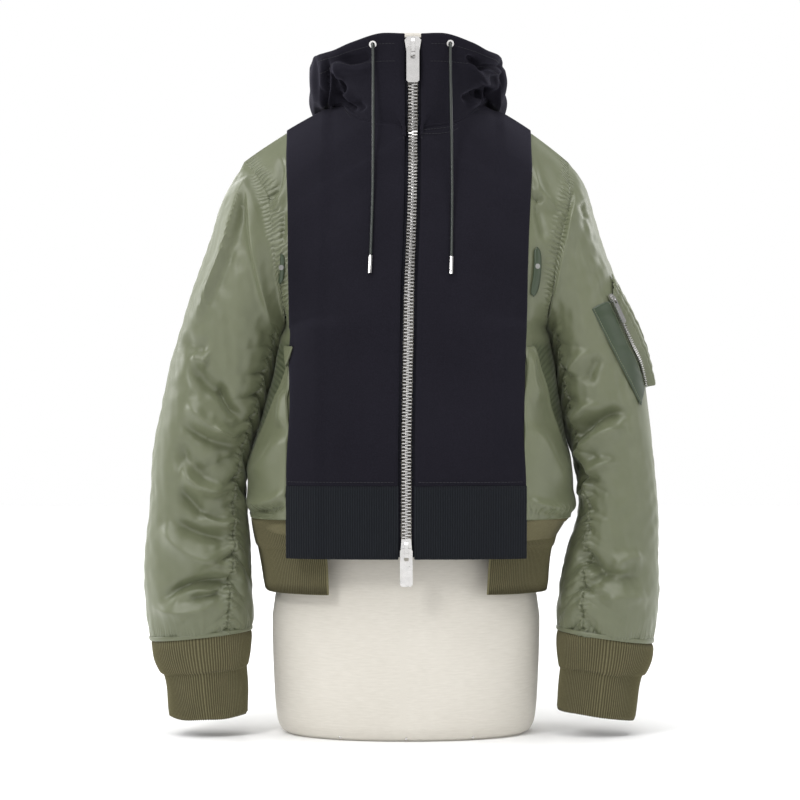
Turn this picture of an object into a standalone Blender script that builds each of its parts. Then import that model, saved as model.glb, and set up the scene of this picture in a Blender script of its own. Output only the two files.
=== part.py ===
"""Hooded drawstring jacket on a limbless dress form.

A zip-up jersey hood and front are worn over a short nylon jacket with knitted cuffs and hem.
Metres, +Z up. The front faces -Y, left and right are the viewer's, and the form stands on z = 0.
"""

import math
from collections import namedtuple

import bmesh
import bpy
import numpy as np

# ---------------------------------------------------------------- driving sizes
NYLON = 0.0025  # padded nylon of the jacket
JERSEY = 0.0025  # heavy jersey of the hood and the two fronts
RIB = 0.003  # doubled knit of hem, cuffs and front bands
TAPE = 0.001  # zip tape
SEAM = 0.0003  # gap between two pieces that are sewn together
SLEEVE_SEAM = 0.0007
LAID = 0.0004  # gap under a piece that lies on a panel
AXIS_X, AXIS_Y = 0.0043, -0.0158  # where the form's middle line stands

ZIP_EDGE = 0.010  # middle of the zip to the jersey's edge
CHAIN_WIDTH, CHAIN_DEPTH = 0.0097, 0.0032
TAPE_EDGE = 0.018
GREEN_EDGE = {-1: 0.104, 1: 0.110}  # front edge of each nylon front
LIFT_START = 0.016  # the jersey begins to rise this far before it lies on the nylon
SHOULDER_X = 0.186

ARMHOLE_GATHERS = 36
INSEAM_GATHERS = 42
GATHER_HEIGHT = 0.0013

# ---------------------------------------------------------------- tables of rows
# A body row runs from the middle (inner) to the armhole or the side seam (outer).
# full turns the row from a flat panel (0) to one that wraps round the side (1).
Body = namedtuple("Body", "inner_x inner_y inner_z left right outer_y outer_z rise full")
FRONT = (
    Body(0.080, 0.000, 0.7205, 0.1860, 0.1860, 0.000, 0.654, 0.0045, 0.00),
    Body(0.072, -0.032, 0.7085, 0.1700, 0.1850, -0.034, 0.634, 0.0035, 0.00),
    Body(0.050, -0.062, 0.6925, 0.1580, 0.1825, -0.058, 0.610, 0.0020, 0.00),
    Body(0.000, -0.084, 0.6805, 0.1520, 0.1770, -0.073, 0.583, 0.0000, 0.00),
    Body(0.000, -0.095, 0.6450, 0.1480, 0.1710, -0.083, 0.554, 0.0000, 0.00),
    Body(0.000, -0.110, 0.6000, 0.1440, 0.1650, -0.084, 0.525, 0.0000, 0.05),
    Body(0.000, -0.124, 0.5500, 0.1400, 0.1620, -0.076, 0.496, 0.0000, 0.15),
    Body(0.000, -0.132, 0.5000, 0.1375, 0.1590, -0.050, 0.470, 0.0000, 0.50),
    Body(0.000, -0.1345, 0.455, 0.1370, 0.1570, 0.000, 0.457, 0.0000, 1.00),
    Body(0.000, -0.1345, 0.420, 0.1420, 0.1630, 0.000, 0.420, 0.0000, 1.00),
    Body(0.000, -0.134, 0.3500, 0.1600, 0.1740, 0.000, 0.350, 0.0000, 1.00),
    Body(0.000, -0.134, 0.2851, 0.1770, 0.1880, 0.000, 0.285, 0.0000, 1.00),
    Body(0.000, -0.134, 0.2620, 0.1800, 0.1920, 0.000, 0.262, 0.0000, 1.00),
    Body(0.000, -0.134, 0.2475, 0.1770, 0.1870, 0.000, 0.2475, 0.0000, 1.00),
    Body(0.000, -0.134, 0.2052, 0.1770, 0.1870, 0.000, 0.2052, 0.0000, 1.00),
)
FRONT_NECK, FRONT_UNDERARM, FRONT_BAND, FRONT_HEM_ROW = 3, 8, 11, 13
BACK = (
    Body(0.080, 0.000, 0.7205, 0.1860, 0.1860, 0.000, 0.654, 0.0045, 0.00),
    Body(0.070, 0.036, 0.7200, 0.1780, 0.1855, 0.036, 0.632, 0.0040, 0.00),
    Body(0.045, 0.060, 0.7195, 0.1680, 0.1830, 0.060, 0.605, 0.0030, 0.00),
    Body(0.000, 0.070, 0.7190, 0.1600, 0.1780, 0.075, 0.575, 0.0000, 0.00),
    Body(0.000, 0.094, 0.6800, 0.1530, 0.1720, 0.082, 0.545, 0.0000, 0.00),
    Body(0.000, 0.110, 0.6200, 0.1460, 0.1660, 0.078, 0.512, 0.0000, 0.10),
    Body(0.000, 0.118, 0.5500, 0.1400, 0.1600, 0.055, 0.478, 0.0000, 0.40),
    Body(0.000, 0.122, 0.4550, 0.1370, 0.1570, 0.000, 0.457, 0.0000, 1.00),
    Body(0.000, 0.124, 0.4200, 0.1420, 0.1630, 0.000, 0.420, 0.0000, 1.00),
    Body(0.000, 0.128, 0.3500, 0.1600, 0.1740, 0.000, 0.350, 0.0000, 1.00),
    Body(0.000, 0.131, 0.2850, 0.1770, 0.1880, 0.000, 0.285, 0.0000, 1.00),
    Body(0.000, 0.131, 0.2620, 0.1800, 0.1920, 0.000, 0.262, 0.0000, 1.00),
    Body(0.000, 0.128, 0.2475, 0.1770, 0.1870, 0.000, 0.2475, 0.0000, 1.00),
)
BACK_NECK, BACK_UNDERARM, BACK_HEM_ROW = 3, 7, 12
WRAP_POWER, FLAT_POWER = 2.8, 2.4

# Distance of the jersey's outer edge from the middle, by height.
Edge = namedtuple("Edge", "height across")
JERSEY_EDGE = (
    Edge(0.205, 0.1310),
    Edge(0.285, 0.1315),
    Edge(0.350, 0.1290),
    Edge(0.455, 0.1310),
    Edge(0.550, 0.1330),
    Edge(0.640, 0.1370),
    Edge(0.690, 0.1390),
)
# The worn fronts hang a little to the viewer's right at the top.
Lean = namedtuple("Lean", "height shift")
LEAN = (
    Lean(0.330, 0.0),
    Lean(0.450, 0.0022),
    Lean(0.500, 0.0029),
    Lean(0.560, 0.0053),
    Lean(0.620, 0.0070),
    Lean(0.680, 0.0075),
    Lean(0.800, 0.0075),
)

# A sleeve row is a ring between its outer point and its inner point.
Sleeve = namedtuple("Sleeve", "outer_x outer_z inner_x inner_z centre_y depth square")
SLEEVE_ROWS = {
    -1: (
        Sleeve(0.1860, 0.654, 0.1370, 0.457, -0.002, 0.084, 2.2),
        Sleeve(0.2035, 0.622, 0.1412, 0.447, -0.002, 0.082, 2.2),
        Sleeve(0.2200, 0.577, 0.1452, 0.433, -0.003, 0.079, 2.2),
        Sleeve(0.2400, 0.522, 0.1515, 0.405, -0.006, 0.076, 2.3),
        Sleeve(0.2600, 0.454, 0.1620, 0.363, -0.010, 0.073, 2.3),
        Sleeve(0.2790, 0.376, 0.1770, 0.317, -0.014, 0.071, 2.3),
        Sleeve(0.2900, 0.300, 0.1835, 0.262, -0.018, 0.067, 2.3),
        Sleeve(0.2940, 0.233, 0.1760, 0.212, -0.022, 0.064, 2.3),
        Sleeve(0.2957, 0.175, 0.1745, 0.165, -0.026, 0.062, 2.3),
        Sleeve(0.2945, 0.138, 0.1735, 0.136, -0.028, 0.059, 2.2),
        Sleeve(0.2900, 0.107, 0.1765, 0.120, -0.030, 0.052, 2.2),
    ),
    1: (
        Sleeve(0.1860, 0.654, 0.1570, 0.457, -0.002, 0.084, 2.2),
        Sleeve(0.2035, 0.628, 0.1618, 0.447, -0.002, 0.082, 2.2),
        Sleeve(0.2170, 0.590, 0.1662, 0.433, -0.003, 0.079, 2.2),
        Sleeve(0.2370, 0.528, 0.1715, 0.402, -0.006, 0.076, 2.3),
        Sleeve(0.2640, 0.458, 0.1770, 0.360, -0.010, 0.073, 2.3),
        Sleeve(0.2750, 0.380, 0.1890, 0.314, -0.014, 0.071, 2.3),
        Sleeve(0.2830, 0.303, 0.1980, 0.260, -0.018, 0.067, 2.3),
        Sleeve(0.2865, 0.233, 0.1850, 0.212, -0.022, 0.064, 2.3),
        Sleeve(0.2872, 0.175, 0.1755, 0.165, -0.026, 0.062, 2.3),
        Sleeve(0.2850, 0.138, 0.1725, 0.136, -0.028, 0.059, 2.2),
        Sleeve(0.2800, 0.104, 0.1725, 0.120, -0.030, 0.052, 2.2),
    ),
}
LAST_SLEEVE_ROW = 10
ARMHOLE_BLEND = 2.5  # rows over which the ring turns into the armhole's shape
# Where the gathered seam lies round the sleeve (0 outer side, 0.25 front, 0.5 underarm).
Seam = namedtuple("Seam", "row turn")
INSEAM = (Seam(0.0, 0.425), Seam(2.0, 0.405), Seam(5.0, 0.400), Seam(8.0, 0.350), Seam(10.0, 0.335))

# Large soft folds of the sleeves: a ridge (or a trough) across part of a ring.
Fold = namedtuple("Fold", "row turn length width slant height")
SLEEVE_FOLDS = {
    -1: (
        Fold(3.1, 0.27, 0.15, 0.42, 3.0, 0.0045),
        Fold(4.3, 0.20, 0.14, 0.45, 3.5, 0.0050),
        Fold(5.2, 0.27, 0.13, 0.40, -3.0, -0.0040),
        Fold(6.3, 0.18, 0.16, 0.42, 4.0, 0.0050),
        Fold(7.4, 0.24, 0.14, 0.40, -3.0, 0.0040),
        Fold(4.6, 0.72, 0.16, 0.45, 3.0, 0.0045),
        Fold(6.6, 0.78, 0.16, 0.45, -3.0, 0.0045),
    ),
    1: (
        Fold(3.4, 0.25, 0.14, 0.42, -3.0, 0.0045),
        Fold(4.9, 0.24, 0.15, 0.42, 3.5, 0.0050),
        Fold(5.7, 0.27, 0.13, 0.40, -3.0, -0.0040),
        Fold(6.6, 0.20, 0.16, 0.42, 3.5, 0.0050),
        Fold(7.6, 0.25, 0.14, 0.40, -3.5, 0.0040),
        Fold(4.4, 0.75, 0.16, 0.45, -3.0, 0.0045),
        Fold(6.4, 0.70, 0.16, 0.45, 3.0, 0.0045),
    ),
}

# A cuff row is a ring too. The knit is folded once, so the lower half steps in.
Cuff = namedtuple("Cuff", "outer_x outer_z inner_x inner_z centre_y depth")
CUFF_ROWS = {
    -1: (
        Cuff(0.2900, 0.1066, 0.1765, 0.1196, -0.030, 0.052),
        Cuff(0.2865, 0.0860, 0.1765, 0.0950, -0.031, 0.048),
        Cuff(0.2795, 0.0700, 0.1790, 0.0790, -0.032, 0.045),
        Cuff(0.2765, 0.0680, 0.1805, 0.0770, -0.032, 0.0425),
        Cuff(0.2700, 0.0400, 0.1810, 0.0450, -0.034, 0.0395),
        Cuff(0.2657, 0.0196, 0.1806, 0.0240, -0.035, 0.038),
    ),
    1: (
        Cuff(0.2800, 0.1036, 0.1725, 0.1196, -0.030, 0.052),
        Cuff(0.2765, 0.0850, 0.1725, 0.0950, -0.031, 0.048),
        Cuff(0.2705, 0.0690, 0.1735, 0.0780, -0.032, 0.045),
        Cuff(0.2675, 0.0670, 0.1750, 0.0760, -0.032, 0.0425),
        Cuff(0.2630, 0.0400, 0.1725, 0.0480, -0.034, 0.0395),
        Cuff(0.2600, 0.0180, 0.1710, 0.0300, -0.035, 0.038),
    ),
}
CUFF_SQUARE = 2.2

# Hood profiles. around runs from the zip (0) by the shoulder (0.5) to the middle of the back (1).
# Each profile goes from the neck seam over four points (out from the neck, height) to the rim.
Hood = namedtuple("Hood", "around out1 up1 out2 up2 out3 up3 out4 up4")
HOOD = (
    Hood(0.00, 0.0800, 0.7080, 0.0785, 0.7350, 0.0790, 0.7610, 0.0820, 0.7873),
    Hood(0.12, 0.0800, 0.7110, 0.0800, 0.7370, 0.0820, 0.7620, 0.0865, 0.7890),
    Hood(0.25, 0.0800, 0.7170, 0.0850, 0.7400, 0.0925, 0.7600, 0.0970, 0.7800),
    Hood(0.34, 0.0815, 0.7240, 0.0895, 0.7430, 0.0985, 0.7580, 0.1030, 0.7730),
    Hood(0.42, 0.0870, 0.7215, 0.0980, 0.7340, 0.1060, 0.7530, 0.1080, 0.7715),
    Hood(0.50, 0.0960, 0.7180, 0.1070, 0.7240, 0.1110, 0.7480, 0.1085, 0.7735),
    Hood(0.60, 0.0980, 0.7170, 0.1120, 0.7120, 0.1190, 0.7370, 0.1160, 0.7720),
    Hood(0.70, 0.1030, 0.7100, 0.1230, 0.6880, 0.1370, 0.7200, 0.1320, 0.7700),
    Hood(0.85, 0.1120, 0.6820, 0.1360, 0.6150, 0.1620, 0.6750, 0.1540, 0.7660),
    Hood(1.00, 0.1150, 0.6650, 0.1420, 0.5750, 0.1720, 0.6500, 0.1600, 0.7640),
)
# Hood folds: a radial push at a place round the neck and up the profile.
HoodFold = namedtuple("HoodFold", "side around width up height push")
HOOD_FOLDS = (
    HoodFold(-1, 0.375, 0.030, 0.45, 0.24, -0.0110),
    HoodFold(-1, 0.300, 0.050, 0.66, 0.10, 0.0055),
    HoodFold(-1, 0.260, 0.080, 0.82, 0.08, -0.0045),
    HoodFold(-1, 0.450, 0.022, 0.60, 0.30, -0.0050),
    HoodFold(1, 0.400, 0.032, 0.40, 0.22, -0.0110),
    HoodFold(1, 0.330, 0.050, 0.55, 0.10, 0.0060),
    HoodFold(1, 0.270, 0.060, 0.75, 0.08, -0.0050),
    HoodFold(1, 0.460, 0.022, 0.55, 0.30, -0.0050),
    HoodFold(-1, 0.780, 0.060, 0.80, 0.25, 0.0090),
    HoodFold(1, 0.740, 0.060, 0.78, 0.25, 0.0090),
)

# The knitted hem: half width, front depth and back depth by height.
Girth = namedtuple("Girth", "height half front back")
HEM_RIB = (
    Girth(0.2360, 0.1745, 0.124, 0.126),
    Girth(0.2160, 0.1695, 0.119, 0.123),
    Girth(0.2130, 0.1675, 0.117, 0.121),
    Girth(0.1950, 0.1650, 0.114, 0.119),
    Girth(0.1640, 0.1630, 0.112, 0.117),
)
RIB_SQUARE = 2.6

# The dress form, from its flat foot to the top of the neck.
FORM = (
    Girth(0.0000, 0.1365, 0.096, 0.094),
    Girth(0.0045, 0.1430, 0.102, 0.100),
    Girth(0.0170, 0.1478, 0.106, 0.106),
    Girth(0.0450, 0.1506, 0.107, 0.112),
    Girth(0.1290, 0.1535, 0.103, 0.118),
    Girth(0.2400, 0.1240, 0.088, 0.086),
    Girth(0.2850, 0.1150, 0.084, 0.075),
    Girth(0.3500, 0.1200, 0.094, 0.078),
    Girth(0.4550, 0.1285, 0.119, 0.091),
    Girth(0.5500, 0.1380, 0.098, 0.094),
    Girth(0.5900, 0.1430, 0.085, 0.088),
    Girth(0.6200, 0.1450, 0.072, 0.078),
    Girth(0.6400, 0.1490, 0.064, 0.070),
    Girth(0.6580, 0.1465, 0.055, 0.060),
    Girth(0.6760, 0.1330, 0.048, 0.050),
    Girth(0.6892, 0.1146, 0.044, 0.044),
    Girth(0.7025, 0.0886, 0.042, 0.041),
    Girth(0.7165, 0.0620, 0.045, 0.044),
    Girth(0.7260, 0.0575, 0.047, 0.047),
    Girth(0.7400, 0.0550, 0.050, 0.050),
    Girth(0.7860, 0.0520, 0.048, 0.049),
    Girth(0.7930, 0.0495, 0.046, 0.046),
    Girth(0.7955, 0.0450, 0.041, 0.042),
)
FORM_SQUARE = 2.15
FORM_SIDES = 26

# Slash pockets: the nylon front lies double as far as a slanting edge, which starts and ends
# this far along the row and drops this far between.
Slant = namedtuple("Slant", "top low drop")
POCKET_EDGE = {-1: Slant(0.968, 0.985, 0.150), 1: Slant(0.955, 0.985, 0.110)}
POCKET_TOP_ROW = 8.6
FLAP_GAP = 0.0009

# Drawcords: the route of each free end from its eyelet to its metal tip.
CORD_RADIUS = 0.0016
EYELET_HOLE, EYELET_OUTER, EYELET_DEPTH = 0.0023, 0.0042, 0.0016
AGLET_RADIUS, AGLET_LENGTH = 0.0022, 0.020
Cord = namedtuple("Cord", "eyelet_x eyelet_z end_x end_z")
CORDS = {-1: Cord(-0.0441, 0.7778, -0.0436, 0.5385), 1: Cord(0.0420, 0.7785, 0.0455, 0.5375)}
CORD_GAP = 0.0008
CORD_STEP = 0.0080

# Zip parts. u runs up the zip and w out of it, both from the pull's hinge and the slider's face.
Slider = namedtuple("Slider", "top top_half wide_u wide_half low_u low_half depth plate")
Bridge = namedtuple("Bridge", "half top low inside outside leg")
Pull = namedtuple("Pull", "half length thick hinge slot_half slot_end")
TOP_SLIDER = Slider(0.0123, 0.0060, 0.0085, 0.0093, -0.0080, 0.0065, 0.0074, 0.0014)
LOW_SLIDER = Slider(0.0115, 0.0052, 0.0020, 0.0060, -0.0090, 0.0070, 0.0074, 0.0014)
POCKET_SLIDER = Slider(0.0060, 0.0024, 0.0040, 0.0030, -0.0040, 0.0025, 0.0030, 0.0030)
MAIN_BRIDGE = Bridge(0.0019, 0.0102, -0.0048, 0.0040, 0.0054, 0.0015)
LOW_BRIDGE = Bridge(0.0019, 0.0086, -0.0048, 0.0040, 0.0054, 0.0015)
POCKET_BRIDGE = Bridge(0.0009, 0.0046, -0.0026, 0.0025, 0.0034, 0.0009)
TOP_PULL = Pull(0.00715, 0.0388, 0.0020, 0.0021, 0.0027, 0.0125)
LOW_PULL = Pull(0.00690, 0.0405, 0.0020, 0.0021, 0.0027, 0.0125)
POCKET_PULL = Pull(0.0031, 0.0300, 0.0014, 0.0013, 0.0015, 0.0066)
SLIDER_RISE = 0.0010  # the main sliders' faces stand this far out from the jersey
CHAIN_SINK = 0.0012
CHAIN_GAP = 0.0009
TAPE_GAP = 0.0008
NECK_SINK = 0.0012
TOP_HINGE_Z, LOW_HINGE_Z = 0.7735, 0.2155

# Pocket on the right sleeve: its zip line, and each row's two side edges, as seen from the front.
Spot = namedtuple("Spot", "across height")
POCKET_ZIP = (
    Spot(0.2290, 0.4916),
    Spot(0.2370, 0.4740),
    Spot(0.2442, 0.4566),
    Spot(0.2517, 0.4392),
    Spot(0.2593, 0.4243),
    Spot(0.2637, 0.4113),
    Spot(0.2680, 0.3933),
)
PATCH_LEFT = (Spot(0.2079, 0.4807), Spot(0.2350, 0.4271), Spot(0.2621, 0.3736))
POCKET_GAP = 0.0011
POCKET_WALL = 0.0018
PEN_BULGE = 0.0085
PEN_REACH = 0.085  # how far round the sleeve the narrow pocket goes from the zip
POCKET_CHAIN_HALF, POCKET_CHAIN_DEPTH = 0.0022, 0.0018

# Dark tabs on the nylon fronts, each with a snap.
Tab = namedtuple("Tab", "inner outer top low snap_across snap_height")
TABS = {
    -1: Tab(0.1372, 0.1412, 0.540, 0.512, 0.1392, 0.527),
    1: Tab(0.1362, 0.1500, 0.546, 0.496, 0.1432, 0.528),
}
SNAP_RADIUS, SNAP_DEPTH = 0.0030, 0.0012

# ---------------------------------------------------------------- finishes
Finish = namedtuple("Finish", "name colour roughness metallic")
SAGE = Finish("sage_nylon", (0.190, 0.208, 0.135), 0.45, 0.0)
DARK_GREEN = Finish("dark_green_nylon", (0.052, 0.070, 0.040), 0.5, 0.0)
OLIVE_RIB = Finish("olive_rib", (0.125, 0.115, 0.062), 0.85, 0.0)
NAVY = Finish("navy_jersey", (0.016, 0.015, 0.020), 0.9, 0.0)
NAVY_RIB = Finish("navy_rib", (0.013, 0.015, 0.020), 0.9, 0.0)
NAVY_TAPE = Finish("navy_tape", (0.012, 0.012, 0.016), 0.8, 0.0)
LINEN = Finish("linen", (0.68, 0.65, 0.58), 0.9, 0.0)
NICKEL = Finish("nickel", (0.75, 0.75, 0.73), 0.25, 1.0)
CORD_GLOSS = Finish("dark_cord", (0.010, 0.014, 0.011), 0.35, 0.0)
SMOOTH_BELOW = math.radians(40)


# ---------------------------------------------------------------- small tools
def smooth(keys, rows, at):
    """The value at a key, on a cubic curve through the rows that doesn't swing past any of them."""
    keys = np.asarray(keys, float)
    rows = np.asarray(rows, float)
    steps = np.diff(keys)
    rises = (np.diff(rows, axis=0).T / steps).T
    before, after = rises[:-1], rises[1:]
    same_way = before * after > 0
    total = np.where(same_way, before + after, 1.0)
    middle = np.where(same_way, 2 * before * after / total, 0.0)
    slopes = np.concatenate([rises[:1], middle, rises[-1:]])
    i = int(np.clip(np.searchsorted(keys, at) - 1, 0, len(keys) - 2))
    step = steps[i]
    t = (at - keys[i]) / step
    start = (1 + 2 * t) * (1 - t) ** 2 * rows[i] + t * (1 - t) ** 2 * step * slopes[i]
    end = t * t * (3 - 2 * t) * rows[i + 1] + t * t * (t - 1) * step * slopes[i + 1]
    return start + end


def by_height(table, height):
    """A row of a table read at any height."""
    table = sorted(table)
    keys = [row[0] for row in table]
    return smooth(keys, [row[1:] for row in table], float(np.clip(height, keys[0], keys[-1])))


def ease(value, low, high):
    """0 below low, 1 above high, and smooth between."""
    t = min(max((value - low) / (high - low), 0.0), 1.0)
    return t * t * (3 - 2 * t)


def unit(vector):
    return vector / np.linalg.norm(vector)


def power(value, exponent):
    return math.copysign(abs(value) ** exponent, value)


def leaned(point):
    """Moves a point of the garment to where the worn garment hangs."""
    share = max(0.0, 1 - (point[0] / SHOULDER_X) ** 2)
    return point + np.array([by_height(LEAN, point[2])[0] * share, 0.0, 0.0])


class Skin:
    """Points and triangles of a surface, put together from strips between rows of points."""

    def __init__(self):
        self.points = []
        self.faces = []

    def add(self, row):
        start = len(self.points)
        self.points += [np.array(point, float) for point in row]
        return list(range(start, len(self.points)))

    def strip(self, a, b, at_a=None, at_b=None):
        """Fills between two rows of indices, which may differ in number."""
        at_a = np.linspace(0, 1, len(a)) if at_a is None else at_a
        at_b = np.linspace(0, 1, len(b)) if at_b is None else at_b
        i = j = 0
        while i < len(a) - 1 or j < len(b) - 1:
            a_next = at_a[i + 1] if i < len(a) - 1 else math.inf
            b_next = at_b[j + 1] if j < len(b) - 1 else math.inf
            if a_next <= b_next:
                self.faces.append((a[i], b[j], a[i + 1]))
                i += 1
            else:
                self.faces.append((a[i], b[j], b[j + 1]))
                j += 1

    def ring_strip(self, a, b, at_a=None, at_b=None):
        """The same between two closed rings."""
        at_a = np.append(np.arange(len(a)) / len(a) if at_a is None else at_a, 1.0)
        at_b = np.append(np.arange(len(b)) / len(b) if at_b is None else at_b, 1.0)
        self.strip(a + a[:1], b + b[:1], at_a, at_b)

    def fan(self, ring, centre):
        middle = self.add([centre])[0]
        for i, first in enumerate(ring):
            self.faces.append((first, ring[(i + 1) % len(ring)], middle))


def shell(skin, thickness, outward, inner_at=None):
    """A wall: the skin is its outer side, and the inner side lies one thickness behind it.

    outward is (index of a point, direction that its outer side faces). inner_at gives the
    inner points of seams that set their own.
    """
    points = np.array(skin.points)
    faces = np.array(skin.faces)
    corners = points[faces]
    normal_of = np.cross(corners[:, 1] - corners[:, 0], corners[:, 2] - corners[:, 0])
    normals = np.zeros_like(points)
    for corner in range(3):
        np.add.at(normals, faces[:, corner], normal_of)
    normals /= np.linalg.norm(normals, axis=1)[:, None]
    if normals[outward[0]] @ np.array(outward[1], float) < 0:
        normals = -normals
    inner = points - thickness * normals
    for index, point in (inner_at or {}).items():
        inner[index] = point
    count = len(points)
    wall = [tuple(face) for face in faces]
    wall += [tuple(count + i for i in face[::-1]) for face in faces]
    edges = {}
    for a, b, c in faces:
        for edge in ((a, b), (b, c), (c, a)):
            edges[edge] = True
    for a, b in edges:
        if (b, a) not in edges:
            wall += [(b, a, count + a), (b, count + a, count + b)]
    return np.vstack([points, inner]), wall


MATERIALS = {}


def material_of(finish):
    if finish.name not in MATERIALS:
        material = bpy.data.materials.new(finish.name)
        material.use_nodes = True
        shader = material.node_tree.nodes["Principled BSDF"]
        shader.inputs["Base Color"].default_value = (*finish.colour, 1.0)
        shader.inputs["Roughness"].default_value = finish.roughness
        shader.inputs["Metallic"].default_value = finish.metallic
        MATERIALS[finish.name] = material
    return MATERIALS[finish.name]


def make(name, points, faces, finish, worn=True, origin=(0.0, 0.0, 0.0)):
    """Makes the object. Its origin is a point of the part, such as a joint's axis."""
    placed = [leaned(np.array(point, float)) if worn else np.array(point, float) for point in points]
    origin = np.array(origin, float)
    if worn:
        origin = leaned(origin)
    mesh = bpy.data.meshes.new(name)
    mesh.from_pydata([tuple(point - origin) for point in placed], [], [list(face) for face in faces])
    shape = bmesh.new()
    shape.from_mesh(mesh)
    bmesh.ops.recalc_face_normals(shape, faces=shape.faces)
    shape.to_mesh(mesh)
    shape.free()
    mesh.shade_smooth()
    mesh.set_sharp_from_angle(angle=SMOOTH_BELOW)
    mesh.materials.append(material_of(finish))
    part = bpy.data.objects.new(name, mesh)
    part.location = origin + np.array([AXIS_X, AXIS_Y, 0.0])
    bpy.context.scene.collection.objects.link(part)
    return part


# ---------------------------------------------------------------- the body's surface
def on_body(rows, side, v, s):
    """A point of the jacket's body: v counts down the rows, s runs from the middle outwards."""
    row = Body(*smooth(range(len(rows)), rows, v))
    inner_x = max(row.inner_x, 0.0)
    outer_x = row.right if side > 0 else row.left
    s = min(max(s, 0.0), 1.0)
    wrapped = 1 - (1 - s**WRAP_POWER) ** (1 / WRAP_POWER)
    turn = row.full * wrapped + (1 - row.full) * s**FLAT_POWER
    return np.array([
        side * (inner_x + (outer_x - inner_x) * s),
        row.inner_y + (row.outer_y - row.inner_y) * turn,
        row.inner_z + (row.outer_z - row.inner_z) * s + 4 * row.rise * s * (1 - s),
    ])


def body_normal(rows, side, v, s):
    """The direction that the body's surface faces there."""
    step = 0.004
    down = on_body(rows, side, min(v + step, len(rows) - 1), s) - on_body(rows, side, max(v - step, 0), s)
    across = on_body(rows, side, v, s + step) - on_body(rows, side, v, s - step)
    normal = unit(np.cross(down, across))
    here = on_body(rows, side, v, s)
    away = here - np.array([0.0, 0.0, min(here[2], 0.6)])
    return normal if normal @ away > 0 else -normal


def raised(rows, side, v, s, height):
    return on_body(rows, side, v, s) + height * body_normal(rows, side, v, s)


def across_at(rows, side, v, x):
    """How far along a row a distance from the middle lies."""
    row = Body(*smooth(range(len(rows)), rows, v))
    inner_x = max(row.inner_x, 0.0)
    outer_x = row.right if side > 0 else row.left
    return min(max((x - inner_x) / (outer_x - inner_x), 0.0), 1.0)


def jersey_edge_at(side, v):
    """How far along a front row the jersey ends."""
    s = 0.9
    for _ in range(4):
        s = across_at(FRONT, side, v, by_height(JERSEY_EDGE, on_body(FRONT, side, v, s)[2])[0])
    return s


def armhole(side, turn, inset):
    """The armhole seam, from the shoulder (0) by the front to the underarm (0.5) and back."""
    if turn <= 0.5:
        point = on_body(FRONT, side, 2 * turn * FRONT_UNDERARM, 1.0)
    else:
        point = on_body(BACK, side, 2 * (1 - turn) * BACK_UNDERARM, 1.0)
    top, bottom = on_body(FRONT, side, 0, 1.0), on_body(FRONT, side, FRONT_UNDERARM, 1.0)
    return point + inset * unit((top + bottom) / 2 - point)


def armhole_axis(side):
    """The direction out of the armhole, square to it."""
    drop = on_body(FRONT, side, FRONT_UNDERARM, 1.0) - on_body(FRONT, side, 0, 1.0)
    return unit(np.array([-side * drop[2], 0.0, side * drop[0]]))


def panel(name, rows, side, row_list, columns, thickness, finish, lift=None, seams=True):
    """A cloth panel of the body. columns(v) gives the places across, lift(v, s) the height."""
    skin = Skin()
    inner_at = {}
    lanes = [[] for _ in columns(row_list[0])]
    to_back = -1.0 if rows is FRONT else 1.0
    for v in row_list:
        places = columns(v)
        for lane, s in zip(lanes, places):
            point = raised(rows, side, v, s, lift(v, s) if lift else 0.0)
            inner = None
            if seams and s > 0.999:
                limit = FRONT_UNDERARM if rows is FRONT else BACK_UNDERARM
                turn = v / limit / 2 if rows is FRONT else 1 - v / limit / 2
                if v <= limit:
                    inner = armhole(side, turn, thickness)
                else:
                    inner = point - np.array([side * thickness, 0.0, 0.0])
            elif seams and v == 0:
                inner = point - np.array([0.0, 0.0, thickness * 1.15])
            nudge = np.zeros(3)
            if seams and (v == 0 or s > 0.999):
                nudge[1] = to_back * SEAM / 2
            point = point + nudge
            index = skin.add([point])[0]
            if inner is not None:
                inner_at[index] = inner + nudge
            lane.append(index)
    for first, second in zip(lanes, lanes[1:]):
        skin.strip(first, second)
    middle = lanes[len(lanes) // 2][len(row_list) // 2]
    points, faces = shell(skin, thickness, (middle, (0.0, to_back, 0.0)), inner_at)
    return make(name, points, faces, finish)


def row_range(start, end, count):
    return [float(v) for v in np.linspace(start, end, count)]


# ---------------------------------------------------------------- nylon body
SIDES = {-1: "left", 1: "right"}
FRONT_ROWS = row_range(0, 8, 17) + [8.6, 9.3, 10.0, 10.5, 11.0, 11.6, 12.0, 12.5, 13.0]


def green_columns(side):
    def columns(v):
        start = across_at(FRONT, side, v, GREEN_EDGE[side])
        edge = jersey_edge_at(side, v)
        rest = [edge + (1 - edge) * share for share in (0.3, 0.55, 0.77, 0.92, 1.0)]
        return [start, (start + edge) / 2, edge] + rest
    return columns


def build_nylon_fronts():
    for side, word in SIDES.items():
        panel(f"front_panel_{word}", FRONT, side, FRONT_ROWS, green_columns(side), NYLON, SAGE)


def on_facets(side, v, s):
    """A point of a nylon front's flat facets, between its columns."""
    columns = green_columns(side)(v)
    i = int(np.clip(np.searchsorted(columns, s) - 1, 0, len(columns) - 2))
    share = (s - columns[i]) / (columns[i + 1] - columns[i])
    return (1 - share) * on_body(FRONT, side, v, columns[i]) + share * on_body(FRONT, side, v, columns[i + 1])


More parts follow.
